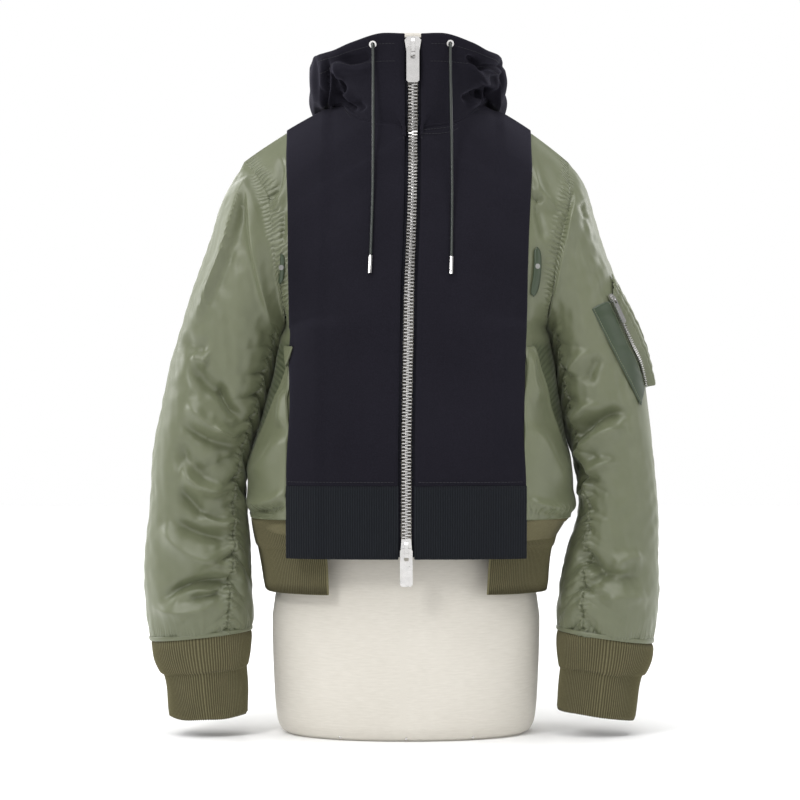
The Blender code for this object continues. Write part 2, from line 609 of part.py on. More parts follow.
def build_pocket_flaps():
    """The doubled part of each nylon front, from the jersey's edge to the slash pocket's slant."""
    for side, word in SIDES.items():
        slant = POCKET_EDGE[side]
        rows = [v for v in FRONT_ROWS if v >= POCKET_TOP_ROW]
        top = on_body(FRONT, side, rows[0], 1.0)[2]
        skin = Skin()
        before = None
        for v in rows:
            start = jersey_edge_at(side, v) + 0.006
            height = on_body(FRONT, side, v, 1.0)[2]
            drop = min(max((top - height) / slant.drop, 0.0), 1.0)
            reach = slant.top + (slant.low - slant.top) * drop
            between = [s for s in green_columns(side)(v) if start + 0.01 < s < reach - 0.0012]
            places = [start] + between + [reach]
            row = skin.add([
                on_facets(side, v, s) + (NYLON + FLAP_GAP) * body_normal(FRONT, side, v, s) for s in places
            ])
            if before:
                skin.strip(before[0], row, before[1], places)
            before = (row, places)
        points, faces = shell(skin, NYLON, (before[0][1], (0.0, -1.0, 0.0)))
        make(f"pocket_flap_{word}", points, faces, SAGE)


def build_back():
    """One piece: above the neck seam's middle it splits round the neck."""
    row_list = row_range(0, 7, 15) + [7.8, 8.6, 9.5, 10.4, 11.0, 11.5, 12.0]
    shares = [0.0, 0.15, 0.3, 0.45, 0.6, 0.74, 0.86, 0.95, 1.0]
    skin = Skin()
    inner_at = {}
    lanes = {-1: [[] for _ in shares], 1: [[] for _ in shares]}
    for v in row_list:
        shared = skin.add([on_body(BACK, 1, v, 0.0)])[0] if v >= BACK_NECK else None
        for side in SIDES:
            for lane, s in zip(lanes[side], shares):
                if s == 0.0 and shared is not None:
                    lane.append(shared)
                    continue
                point = on_body(BACK, side, v, s)
                nudge = np.array([0.0, SEAM / 2 if v == 0 or s == 1.0 else 0.0, 0.0])
                index = skin.add([point + nudge])[0]
                lane.append(index)
                if s == 1.0 and v <= BACK_UNDERARM:
                    inner_at[index] = armhole(side, 1 - v / BACK_UNDERARM / 2, NYLON) + nudge
                elif s == 1.0:
                    inner_at[index] = point + nudge - np.array([side * NYLON, 0.0, 0.0])
                elif v == 0:
                    inner_at[index] = point + nudge - np.array([0.0, 0.0, NYLON * 1.15])
    order = lanes[-1][::-1] + lanes[1][1:]
    left_inner, right_inner = lanes[-1][0], lanes[1][0]
    for first, second in zip(order, order[1:]):
        if first is left_inner:
            first = right_inner
        skin.strip(first, second)
    middle = lanes[1][4][len(row_list) // 2]
    points, faces = shell(skin, NYLON, (middle, (0.0, 1.0, 0.0)), inner_at)
    make("back_panel", points, faces, SAGE)


def girth_point(table, height, angle, square):
    """A point of a rounded section. angle is 0 at the front and grows to the viewer's right."""
    half, front, back = by_height(table, height)
    depth = front if math.cos(angle) >= 0 else back
    across, along = abs(math.sin(angle)) / half, abs(math.cos(angle)) / depth
    reach = (across**square + along**square) ** (-1 / square)
    return np.array([reach * math.sin(angle), -reach * math.cos(angle), height])


def build_hem_rib():
    """The knitted hem, open at the front. Its top edge is the nylon's hem, one seam lower."""
    tops = []
    for s in np.linspace(0.0, 1.0, 7):
        start = across_at(FRONT, -1, FRONT_HEM_ROW, GREEN_EDGE[-1])
        tops.append(on_body(FRONT, -1, FRONT_HEM_ROW, start + (1 - start) * s))
    for s in np.linspace(0.93, 0.0, 10):
        tops.append(on_body(BACK, -1, BACK_HEM_ROW, s))
    for s in np.linspace(0.0, 0.93, 10)[1:]:
        tops.append(on_body(BACK, 1, BACK_HEM_ROW, s))
    for s in np.linspace(1.0, 0.0, 7):
        start = across_at(FRONT, 1, FRONT_HEM_ROW, GREEN_EDGE[1])
        tops.append(on_body(FRONT, 1, FRONT_HEM_ROW, start + (1 - start) * s))
    skin = Skin()
    lanes = []
    inner_at = {}
    for top in tops:
        angle = math.atan2(top[0], -top[1])
        column = [top - np.array([0.0, 0.0, SEAM])]
        column += [girth_point(HEM_RIB, row.height, angle, RIB_SQUARE) for row in HEM_RIB]
        lane = skin.add(column)
        lanes.append(lane)
        inner_at[lane[0]] = column[0] - RIB * unit(np.array([top[0], top[1], 0.0]))
    for first, second in zip(lanes, lanes[1:]):
        skin.strip(first, second)
    middle = lanes[len(lanes) // 2][3]
    points, faces = shell(skin, RIB, (middle, (0.0, 1.0, 0.0)), inner_at)
    make("hem_rib", points, faces, OLIVE_RIB)


# ---------------------------------------------------------------- jersey fronts
def jersey_lift(side):
    """The jersey lies level with the nylon at the zip and rises onto it further out."""
    def lift(v, s):
        x = abs(on_body(FRONT, side, v, s)[0])
        edge = GREEN_EDGE[side]
        return (JERSEY + LAID) * ease(x, edge - LIFT_START, edge - 0.003)
    return lift


def jersey_columns(side):
    def columns(v):
        zip_side = across_at(FRONT, side, v, ZIP_EDGE)
        start = across_at(FRONT, side, v, GREEN_EDGE[side] - LIFT_START)
        foot = across_at(FRONT, side, v, GREEN_EDGE[side] - 0.003)
        green = across_at(FRONT, side, v, GREEN_EDGE[side])
        edge = jersey_edge_at(side, v)
        inner = [zip_side + (start - zip_side) * share for share in (0.0, 0.25, 0.5, 0.75)]
        return inner + [start, foot, green, (green + edge) / 2, edge]
    return columns


def build_jersey_fronts():
    rows = [v for v in FRONT_ROWS if v <= FRONT_BAND]
    for side, word in SIDES.items():
        panel(f"jersey_front_{word}", FRONT, side, rows, jersey_columns(side), JERSEY, NAVY,
              lift=jersey_lift(side), seams=True)
        band = [11.02, 11.6, 12.0, 12.5, 13.0, 13.5, 14.0]
        panel(f"front_band_{word}", FRONT, side, band, jersey_columns(side), JERSEY, NAVY_RIB,
              lift=jersey_lift(side), seams=False)


# ---------------------------------------------------------------- hood
HOOD_START = 0.05
HOOD_SPREAD = {-1: 1.03, 1: 0.965}
HOOD_UPS = (0.0, 0.12, 0.25, 0.36, 0.46, 0.56, 0.66, 0.75, 0.83, 0.91, 1.0)


def neck_corner(rows, side, v):
    return on_body(rows, side, v, across_at(rows, side, v, ZIP_EDGE) if rows is FRONT else 0.0)


def neck_point(side, around):
    """The neck seam, straight between the corners of the pieces below it."""
    if around <= 0.5:
        rows, v = FRONT, FRONT_NECK * min((0.5 - around) / (0.5 - HOOD_START), 1.0)
    else:
        rows, v = BACK, BACK_NECK * (2 * around - 1)
    low = math.floor(2 * v) / 2
    share = 2 * (v - low)
    point = (1 - share) * neck_corner(rows, side, low) + share * neck_corner(rows, side, min(low + 0.5, 3.0))
    return point + np.array([0.0, 0.0, SEAM + 0.0002])


def on_hood(side, around, up):
    """A point of the hood: around from the zip to the middle of the back, up from seam to rim."""
    neck = neck_point(side, around)
    profile = smooth([row.around for row in HOOD], [row[1:] for row in HOOD], around)
    angle = math.pi * around
    heading = np.array([side * math.sin(angle), -math.cos(angle), 0.0])
    stops = [neck]
    for i in range(4):
        stops.append(heading * profile[2 * i] + np.array([0.0, 0.0, profile[2 * i + 1]]))
    point = smooth([0.0, 0.25, 0.5, 0.75, 1.0], stops, up)
    push = 0.0
    for fold in HOOD_FOLDS:
        if fold.side == side:
            along = (around - fold.around) / fold.width
            across = (up - fold.up) / fold.height
            push += fold.push * math.exp(-(along**2) - across**2)
    share = ease(around, 0.2, 0.5) * ease(-around, -1.0, -0.6) * ease(up, 0.0, 0.3)
    spread = 1 + (HOOD_SPREAD[side] - 1) * share
    return (point + heading * push) * np.array([spread, 1.0, 1.0])


def build_hood():
    arounds = [HOOD_START, 0.0875, 0.125, 0.1625, 0.20, 0.2375, 0.275, 0.3125, 0.35, 0.3875, 0.425,
               0.4625, 0.50, 0.56, 0.62, 0.69, 0.76, 0.84, 0.92, 1.0]
    for side, word in SIDES.items():
        skin = Skin()
        lanes = []
        inner_at = {}
        for around in arounds:
            column = [on_hood(side, around, up) for up in HOOD_UPS]
            if around == arounds[0]:
                column = [np.array([side * ZIP_EDGE, point[1], point[2]]) for point in column]
            if around == 1.0:
                column = [np.array([side * SEAM / 2, point[1], point[2]]) for point in column]
            lanes.append(skin.add(column))
        for first, second in zip(lanes, lanes[1:]):
            skin.strip(first, second)
        middle = lanes[2][5]
        points, faces = shell(skin, JERSEY, (middle, (0.0, -1.0, 0.0)), inner_at)
        count = len(skin.points)
        for lane, away in ((lanes[0], ZIP_EDGE), (lanes[-1], SEAM / 2)):
            for index in lane:
                points[count + index][0] = side * away
        make(f"hood_{word}", points, faces, NAVY)


# ---------------------------------------------------------------- sleeves
def ring_point(row, side, turn, inset, square):
    angle = 2 * math.pi * turn
    along = power(math.cos(angle), 2 / square)
    front = power(math.sin(angle), 2 / square)
    outer = np.array([row.outer_x, row.outer_z])
    inner = np.array([row.inner_x, row.inner_z])
    half = (outer - inner) / 2
    middle = (outer + inner) / 2
    half = half * (1 - inset / np.linalg.norm(half))
    x, z = middle + half * along
    return np.array([side * x, row.centre_y - (row.depth - inset) * front, z])


def sleeve_fold(side, v, turn):
    push = 0.0
    for fold in SLEEVE_FOLDS[side]:
        away = (turn - fold.turn + 0.5) % 1.0 - 0.5
        along = away / fold.length
        across = (v - fold.row - fold.slant * away) / fold.width
        push += fold.height * math.exp(-(along**2) - across**2)
    return push


def on_sleeve(side, v, turn, inset=0.0, swell=0.0):
    """A point of a sleeve: v counts down its rows, turn goes round it from the outer side."""
    rows = SLEEVE_ROWS[side]
    row = Sleeve(*smooth(range(len(rows)), rows, v))
    point = ring_point(row, side, turn, inset, row.square)
    blend = max(0.0, 1 - v / ARMHOLE_BLEND) ** 2
    if blend > 0:
        start = ring_point(rows[0], side, turn, inset, rows[0].square)
        point = point + blend * (armhole(side, turn % 1.0, inset) - start)
    middle = np.array([side * (row.outer_x + row.inner_x) / 2, row.centre_y, (row.outer_z + row.inner_z) / 2])
    return point + (swell + sleeve_fold(side, v, turn)) * unit(point - middle)


def away_from_underarm(turn):
    return 1 - math.exp(-(((turn - 0.5) / 0.05) ** 2))


def build_sleeves():
    gather_row, tube_row = 0.30, 0.75
    seam_reach = 0.030
    rows_coarse = [tube_row] + row_range(1.4, LAST_SLEEVE_ROW, 15)
    rows_fine = row_range(tube_row, LAST_SLEEVE_ROW, 2 * INSEAM_GATHERS + 1)
    for side, word in SIDES.items():
        skin = Skin()
        seam_step = SLEEVE_SEAM * armhole_axis(side)
        count = 2 * ARMHOLE_GATHERS
        turns = [i / count for i in range(count)]
        seam_ring = skin.add([
            on_sleeve(side, 0.0, turn) + seam_step for turn in turns
        ])
        gather_ring = skin.add([
            on_sleeve(side, gather_row, turn, swell=GATHER_HEIGHT * (i % 2) * away_from_underarm(turn))
            for i, turn in enumerate(turns)
        ])
        skin.ring_strip(seam_ring, gather_ring)

        def turn_of(column, v):
            seam = smooth([row.row for row in INSEAM], [row.turn for row in INSEAM], v)
            before, after = seam - seam_reach, seam + seam_reach
            if column < 7:
                return before * column / 7
            if column <= 9:
                return before + seam_reach * (column - 7)
            return after + (1 - after) * (column - 9) / 10

        columns = []
        for column in range(19):
            fine = column in (7, 8, 9)
            places = rows_fine if fine else rows_coarse
            points = []
            for i, v in enumerate(places):
                swell = 0.0
                if fine:
                    fade = ease(v, tube_row, tube_row + 0.4)
                    fade *= ease(-v, -LAST_SLEEVE_ROW, -LAST_SLEEVE_ROW + 0.3)
                    wave = GATHER_HEIGHT * (i % 2)
                    swell = fade * (wave - 0.0012 if column == 8 else 1.25 * wave)
                points.append(on_sleeve(side, v, turn_of(column, v), swell=swell))
            columns.append((skin.add(points), places))
        tops = [indices[0] for indices, _ in columns]
        top_turns = np.array([turn_of(column, tube_row) for column in range(19)])
        skin.ring_strip(gather_ring, tops, np.array(turns), top_turns)
        for (first, at_first), (second, at_second) in zip(columns, columns[1:] + columns[:1]):
            skin.strip(first, second, at_first, at_second)
        ends = [indices[-1] for indices, _ in columns]
        end_turns = np.array([turn_of(column, LAST_SLEEVE_ROW) for column in range(19)])

        inner_rows = row_range(0.0, LAST_SLEEVE_ROW, 15)
        inner_count = 14
        inner_turns = np.arange(inner_count) / inner_count
        rings = []
        for v in inner_rows:
            nudge = seam_step if v == 0.0 else np.zeros(3)
            rings.append(skin.add([
                on_sleeve(side, v, turn, inset=NYLON) + nudge for turn in inner_turns
            ]))
        for first, second in zip(rings, rings[1:]):
            skin.ring_strip(first, second)
        skin.ring_strip(rings[0], seam_ring, inner_turns, np.array(turns))
        skin.ring_strip(rings[-1], ends, inner_turns, end_turns)
        make(f"sleeve_{word}", skin.points, skin.faces, SAGE)


def build_cuffs():
    sides = 20
    for side, word in SIDES.items():
        skin = Skin()
        turns = [i / sides for i in range(sides)]
        outer = [skin.add([ring_point(row, side, turn, 0.0, CUFF_SQUARE) for turn in turns])
                 for row in CUFF_ROWS[side]]
        inner_rows = [CUFF_ROWS[side][i] for i in (0, 1, 3, 4, 5)]
        inner = [skin.add([ring_point(row, side, turn, RIB if i else NYLON, CUFF_SQUARE) for turn in turns])
                 for i, row in enumerate(inner_rows)]
        for rings in (outer, inner):
            for first, second in zip(rings, rings[1:]):
                skin.ring_strip(first, second)
        skin.ring_strip(outer[0], inner[0])
        skin.ring_strip(outer[-1], inner[-1])
        make(f"cuff_{word}", skin.points, skin.faces, OLIVE_RIB)


# ---------------------------------------------------------------- dress form
def build_form():
    skin = Skin()
    rings = []
    angles = [2 * math.pi * i / FORM_SIDES for i in range(FORM_SIDES)]
    heights = [row.height for row in FORM]
    for height in heights:
        rings.append(skin.add([girth_point(FORM, height, angle, FORM_SQUARE) for angle in angles]))
    for first, second in zip(rings, rings[1:]):
        skin.ring_strip(first, second)
    skin.fan(rings[0], (0.0, 0.0, heights[0]))
    skin.fan(rings[-1], (0.0, 0.0, heights[-1]))
    make("dress_form", skin.points, skin.faces, LINEN, worn=False)


# ---------------------------------------------------------------- the front's middle line
def middle_line(t):
    """The jersey's outer side at the zip: t is 0 at the hood's rim, 1 at the neck and then rows."""
    if t < 1:
        up = 1 - t
        left, right = on_hood(-1, 0.05, up), on_hood(1, 0.05, up)
        point = (left + right) / 2
        return np.array([0.0, point[1], point[2]])
    return on_body(FRONT, 1, FRONT_NECK + t - 1, 0.0)


LAST_T = 1 + 14 - FRONT_NECK


def middle_at(height):
    """(point, direction up, direction out) of the middle line at a height."""
    low, high = 0.0, float(LAST_T)
    for _ in range(40):
        t = (low + high) / 2
        if middle_line(t)[2] > height:
            low = t
        else:
            high = t
    step = 0.02
    along = unit(middle_line(max(t - step, 0.0)) - middle_line(min(t + step, LAST_T)))
    return middle_line(t), along, np.array([0.0, -along[2], along[1]])


def behind_jersey(side, t, x):
    """A point on the zip tape's outer side, behind the jersey."""
    if t < 1:
        up = 1 - t
        first, second = on_hood(side, HOOD_START, up), on_hood(side, 0.0875, up)
        share = max(0.0, (x - ZIP_EDGE) / (abs(second[0]) - ZIP_EDGE))
        depth = (1 - share) * first[1] + share * second[1]
        return np.array([side * x, depth + JERSEY + TAPE_GAP + NECK_SINK * ease(t, 0.6, 0.95), first[2]])
    v = FRONT_NECK + t - 1
    s = across_at(FRONT, side, v, x)
    return raised(FRONT, side, v, s, -(JERSEY + TAPE_GAP + NECK_SINK * ease(-v, -4.0, -3.2)))


def build_zip():
    places = [0.03, 0.15, 0.3, 0.45, 0.6, 0.75, 0.88, 0.96, 1.0]
    places += [v - FRONT_NECK + 1 for v in FRONT_ROWS if v > 3.2] + [11.5, 11.96]
    for side, word in SIDES.items():
        skin = Skin()
        lanes = [[], []]
        for t in places:
            for lane, x in zip(lanes, (CHAIN_WIDTH / 2 + CHAIN_GAP, TAPE_EDGE)):
                lane += skin.add([behind_jersey(side, t, x)])
        skin.strip(*lanes)
        points, faces = shell(skin, TAPE, (lanes[0][5], (0.0, -1.0, 0.0)))
        make(f"zip_tape_{word}", points, faces, NAVY_TAPE)
    skin = Skin()
    rings = []
    half = CHAIN_WIDTH / 2
    for height in np.linspace(TOP_HINGE_Z - 0.002, LOW_HINGE_Z + 0.003, 22):
        point, _, out = middle_at(height)
        front, back = point - CHAIN_SINK * out, point - (CHAIN_SINK + CHAIN_DEPTH) * out
        across = np.array([half, 0.0, 0.0])
        rings.append(skin.add([front - across, front + across, back + across, back - across]))
    for first, second in zip(rings, rings[1:]):
        skin.ring_strip(first, second)
    for ring in (rings[0], rings[-1]):
        skin.faces += [(ring[0], ring[1], ring[2]), (ring[0], ring[2], ring[3])]
    make("zip_chain", skin.points, skin.faces, NICKEL)


# ---------------------------------------------------------------- small hard parts
Frame = namedtuple("Frame", "origin across along out")


def at(frame, x, u, w):
    return frame.origin + x * frame.across + u * frame.along + w * frame.out


def prism(frame, outline, low, high):
    """Points and faces of an outline in x and u, between two heights."""
    count = len(outline)
    points = [at(frame, x, u, w) for w in (low, high) for x, u in outline]
    faces = [tuple(range(count)), tuple(range(count, 2 * count))]
    faces += [(i, (i + 1) % count, count + (i + 1) % count, count + i) for i in range(count)]
    return points, faces


def holed_prism(frame, outer, hole, middle, low, high):
    """The same with a hole. middle is a point that sees both outlines."""
    skin = Skin()
    levels = []
    for outline in (outer, hole):
        turns = [math.atan2(u - middle[1], x - middle[0]) % (2 * math.pi) for x, u in outline]
        order = np.argsort(turns)
        shares = np.array([turns[i] for i in order]) / (2 * math.pi)
        rings = [skin.add([at(frame, *outline[i], w) for i in order]) for w in (low, high)]
        levels.append((rings, shares))
    (outer_rings, outer_shares), (hole_rings, hole_shares) = levels
    for first, second in zip(outer_rings, hole_rings):
        skin.ring_strip(first, second, outer_shares, hole_shares)
    skin.ring_strip(*outer_rings)
    skin.ring_strip(*hole_rings)
    return skin.points, skin.faces


def fuse(part, helper):
    helper.hide_render = True
    helper.display_type = "WIRE"
    joined = part.modifiers.new("join", "BOOLEAN")
    joined.operation = "UNION"
    joined.solver = "EXACT"
    joined.object = helper


def make_slider(name, frame, size, bridge, flip):
    """Two plates and a wedge (or one block), with a bridge on the face that holds the pull."""
    way = -1 if flip else 1
    shape = [(-size.top_half, size.top), (size.top_half, size.top), (size.wide_half, size.wide_u),
             (size.low_half, size.low_u), (-size.low_half, size.low_u), (-size.wide_half, size.wide_u)]
    points, faces = prism(frame, shape, -size.plate, 0.0)
    part = make(name, points, faces, NICKEL)
    if size.plate < size.depth:
        points, faces = prism(frame, shape, -size.depth, size.plate - size.depth)
        fuse(part, make(f"{name}_back", points, faces, NICKEL))
        far = size.top - 0.0004 if way > 0 else size.low_u + 0.0004
        near = far - way * 0.006
        wedge = [(-0.0012, near), (0.0012, near), (0.0024, far), (-0.0024, far)]
        points, faces = prism(frame, wedge, -size.depth + 0.0002, -0.0002)
        fuse(part, make(f"{name}_wedge", points, faces, NICKEL))
    turned = Frame(frame.origin, frame.out, frame.along, frame.across)
    arch = [(-0.0004, bridge.low), (bridge.outside - 0.001, bridge.low),
            (bridge.outside, bridge.low + 0.001), (bridge.outside, bridge.top - 0.003),
            (bridge.outside - 0.002, bridge.top), (-0.0004, bridge.top),
            (-0.0004, bridge.top - bridge.leg), (bridge.inside - 0.0005, bridge.top - bridge.leg - 0.0012),
            (bridge.inside, bridge.top - bridge.leg - 0.002), (bridge.inside, bridge.low + bridge.leg),
            (-0.0004, bridge.low + bridge.leg)]
    points, faces = prism(turned, arch, -bridge.half, bridge.half)
    fuse(part, make(f"{name}_bridge", points, faces, NICKEL))


def make_pull(name, frame, pull):
    """A flat pull whose slot passes over the slider's bridge. Its origin is on the hinge."""
    bar = pull.thick / 2
    corner = 0.3 * pull.half
    end = -pull.length
    outer = [(pull.half - corner, bar), (pull.half, bar - corner), (pull.half, -pull.slot_end),
             (pull.half, end + corner), (pull.half - corner, end)]
    outer += [(-x, u) for x, u in outer[::-1]]
    chamfer = 0.4 * pull.slot_half
    hole = [(pull.slot_half - chamfer, -bar), (pull.slot_half, -bar - chamfer),
            (pull.slot_half, -pull.slot_end + chamfer), (pull.slot_half - chamfer, -pull.slot_end)]
    hole += [(-x, u) for x, u in hole[::-1]]
    middle = (0.0, -bar - 2 * chamfer)
    low, high = pull.hinge - bar, pull.hinge + bar
    points, faces = holed_prism(frame, outer, hole, middle, low, high)
    make(name, points, faces, NICKEL, origin=at(frame, 0.0, 0.0, pull.hinge))


def disc(frame, radius, hole, low, high, sides=14):
    turns = [2 * math.pi * i / sides for i in range(sides)]
    outer = [(radius * math.cos(turn), radius * math.sin(turn)) for turn in turns]
    if not hole:
        return prism(frame, outer, low, high)
    inner = [(hole * math.cos(turn), hole * math.sin(turn)) for turn in turns]
    return holed_prism(frame, outer, inner, (0.0, 0.0), low, high)


ACROSS = np.array([1.0, 0.0, 0.0])
UP = np.array([0.0, 0.0, 1.0])
TO_FRONT = np.array([0.0, -1.0, 0.0])


def build_main_sliders():
    for name, height, size, bridge, pull, flip in (
        ("top", TOP_HINGE_Z, TOP_SLIDER, MAIN_BRIDGE, TOP_PULL, False),
        ("bottom", LOW_HINGE_Z, LOW_SLIDER, LOW_BRIDGE, LOW_PULL, True),
    ):
        point, along, out = middle_at(height)
        frame = Frame(point + SLIDER_RISE * out, ACROSS, along, out)
        make_slider(f"slider_{name}", frame, size, bridge, flip)
        hinge = frame.origin + pull.hinge * out
        hanging = Frame(hinge - pull.hinge * TO_FRONT, ACROSS, UP, TO_FRONT)
        make_pull(f"pull_{name}", hanging, pull)


# ---------------------------------------------------------------- drawcords
def hood_at(side, x, z):
    """(around, up) of the point of the front of the hood at this place across and height."""
    around, up = 0.15, 0.8
    for _ in range(12):
        here = on_hood(side, around, up)
        step = 0.004
        by_around = (on_hood(side, around + step, up) - here) / step
        by_up = (on_hood(side, around, up - step) - here) / -step
        matrix = np.array([[by_around[0], by_up[0]], [by_around[2], by_up[2]]])
        move = np.linalg.solve(matrix, np.array([x - here[0], z - here[2]]))
        around = float(np.clip(around + move[0], 0.02, 0.4))
        up = float(np.clip(up + move[1], 0.0, 0.99))
    return around, up


def front_depth(side, x, z):
    """y of the garment's front at this place across and height."""
    low, high = 1.5, 9.0
    top = on_body(FRONT, side, FRONT_NECK - 0.6, 0.3)[2]
    if z > top:
        return on_hood(side, *hood_at(side, x, z))[1]
    for _ in range(40):
        v = (low + high) / 2
        if on_body(FRONT, side, v, across_at(FRONT, side, v, abs(x)))[2] > z:
            low = v
        else:
            high = v
    return on_body(FRONT, side, v, across_at(FRONT, side, v, abs(x)))[1]


def cord_path(side):
    """The cord's middle line below its eyelet. It is drawn straight over every hollow."""
    row = CORDS[side]
    heights = np.linspace(row.eyelet_z - 0.004, row.end_z, 60)
    xs = np.interp(heights, [row.end_z, row.eyelet_z], [row.end_x, row.eyelet_x])
    ys = np.array([front_depth(side, x, z) for x, z in zip(xs, heights)]) - CORD_RADIUS - CORD_GAP
    for _ in range(400):
        ys[1:-1] = np.minimum(ys[1:-1], (ys[:-2] + ys[2:]) / 2)
    return np.column_stack([xs, ys, heights])


def eyelet_frame(side):
    row = CORDS[side]
    around, up = hood_at(side, row.eyelet_x, row.eyelet_z)
    here = on_hood(side, around, up)
    step = 0.01
    across = unit(on_hood(side, around + step, up) - on_hood(side, around - step, up)) * side
    along = on_hood(side, around, min(up + step, 1.0)) - on_hood(side, around, up - step)
    along = unit(along - (along @ across) * across)
    out = np.cross(across, along)
    out = out if out[1] < 0 else -out
    return Frame(here, across, along, out)


def build_cords():
    for side, word in SIDES.items():
        frame = eyelet_frame(side)
        points, faces = disc(frame, EYELET_OUTER, EYELET_HOLE, LAID, LAID + EYELET_DEPTH)
        make(f"eyelet_{word}", points, faces, NICKEL)
        start = frame.origin
        path = cord_path(side)
        face = LAID + EYELET_DEPTH
        bend = [start + height * frame.out - drop * frame.along for height, drop in (
            (LAID + 0.0009, 0.0), (face + 0.0006, 0.0), (face + 0.0022, 0.0006), (face + 0.0034, 0.0022),
            (face + 0.0036, 0.0046))]
        drop = next(i for i, point in enumerate(path) if point[2] < frame.origin[2] - 0.012)
        line = bend + resampled(list(path[drop:]), CORD_STEP)
        curve = bpy.data.curves.new(f"cord_{word}", "CURVE")
        curve.dimensions = "3D"
        curve.bevel_depth = CORD_RADIUS
        curve.bevel_resolution = 2
        curve.use_fill_caps = True
        curve.materials.append(material_of(CORD_GLOSS))
        spline = curve.splines.new("POLY")
        spline.points.add(len(line) - 1)
        for place, point in zip(spline.points, line):
            place.co = (*leaned(point), 1.0)
        cord = bpy.data.objects.new(f"cord_{word}", curve)
        cord.location = (AXIS_X, AXIS_Y, 0.0)
        bpy.context.scene.collection.objects.link(cord)
        along = unit(line[-2] - line[-1])
        out = unit(np.array([0.0, -along[2], along[1]]))
        frame = Frame(line[-1] - (SEAM + AGLET_LENGTH) * along, ACROSS, out, along)
        points, faces = disc(frame, AGLET_RADIUS, None, 0.0, AGLET_LENGTH, sides=12)
        make(f"aglet_{word}", points, faces, NICKEL)


def resampled(line, spacing):
    """The same line with a point every so often, on a smooth curve."""
    line = np.array(line)
    lengths = np.append(0.0, np.cumsum(np.linalg.norm(np.diff(line, axis=0), axis=1)))
    count = int(lengths[-1] / spacing) + 1
    return [smooth(lengths, line, length) for length in np.linspace(0.0, lengths[-1], count)]


# ---------------------------------------------------------------- pocket on the right sleeve
def sleeve_at(x, z):
    """(row, turn) of the point of the right sleeve's front at this place across and height."""
    best = None
    for v in np.linspace(2.5, 6.5, 33):
        for turn in np.linspace(-0.02, 0.30, 25):
            here = on_sleeve(1, v, turn)
            miss = math.hypot(here[0] - x, here[2] - z)
            if best is None or miss < best[0]:
                best = (miss, v, turn)
    _, v, turn = best
    step = 0.01
    for _ in range(8):
        here = on_sleeve(1, v, turn)
        by_v = (on_sleeve(1, v + step, turn) - here) / step
        by_turn = (on_sleeve(1, v, turn + step) - here) / step
        matrix = np.array([[by_v[0], by_turn[0]], [by_v[2], by_turn[2]]])
        if abs(np.linalg.det(matrix)) < 1e-6:
            break
        move = np.linalg.solve(matrix, np.array([x - here[0], z - here[2]]))
        v += float(np.clip(move[0], -0.2, 0.2))
        turn += float(np.clip(move[1], -0.01, 0.01))
    return v, turn


def sleeve_normal(v, turn):
    step = 0.01
    down = on_sleeve(1, v + step, turn) - on_sleeve(1, v - step, turn)
    round_it = on_sleeve(1, v, turn + step) - on_sleeve(1, v, turn - step)
    normal = unit(np.cross(down, round_it))
    return normal if normal @ np.array([0.5, -1.0, 0.0]) > 0 else -normal


def over_sleeve(v, turn, height):
    return on_sleeve(1, v, turn) + height * sleeve_normal(v, turn)


def sheet_over(name, rows, thickness, finish):
    """A wall over the sleeve: rows of (row, turn, height of its outer side)."""
    skin = Skin()
    lanes = [[] for _ in rows[0]]
    for row in rows:
        for lane, (v, turn, height) in zip(lanes, row):
            lane += skin.add([over_sleeve(v, turn, height)])
    for first, second in zip(lanes, lanes[1:]):
        skin.strip(first, second)
    points, faces = shell(skin, thickness, (lanes[1][len(rows) // 2], (0.5, -1.0, 0.0)))
    make(name, points, faces, finish)


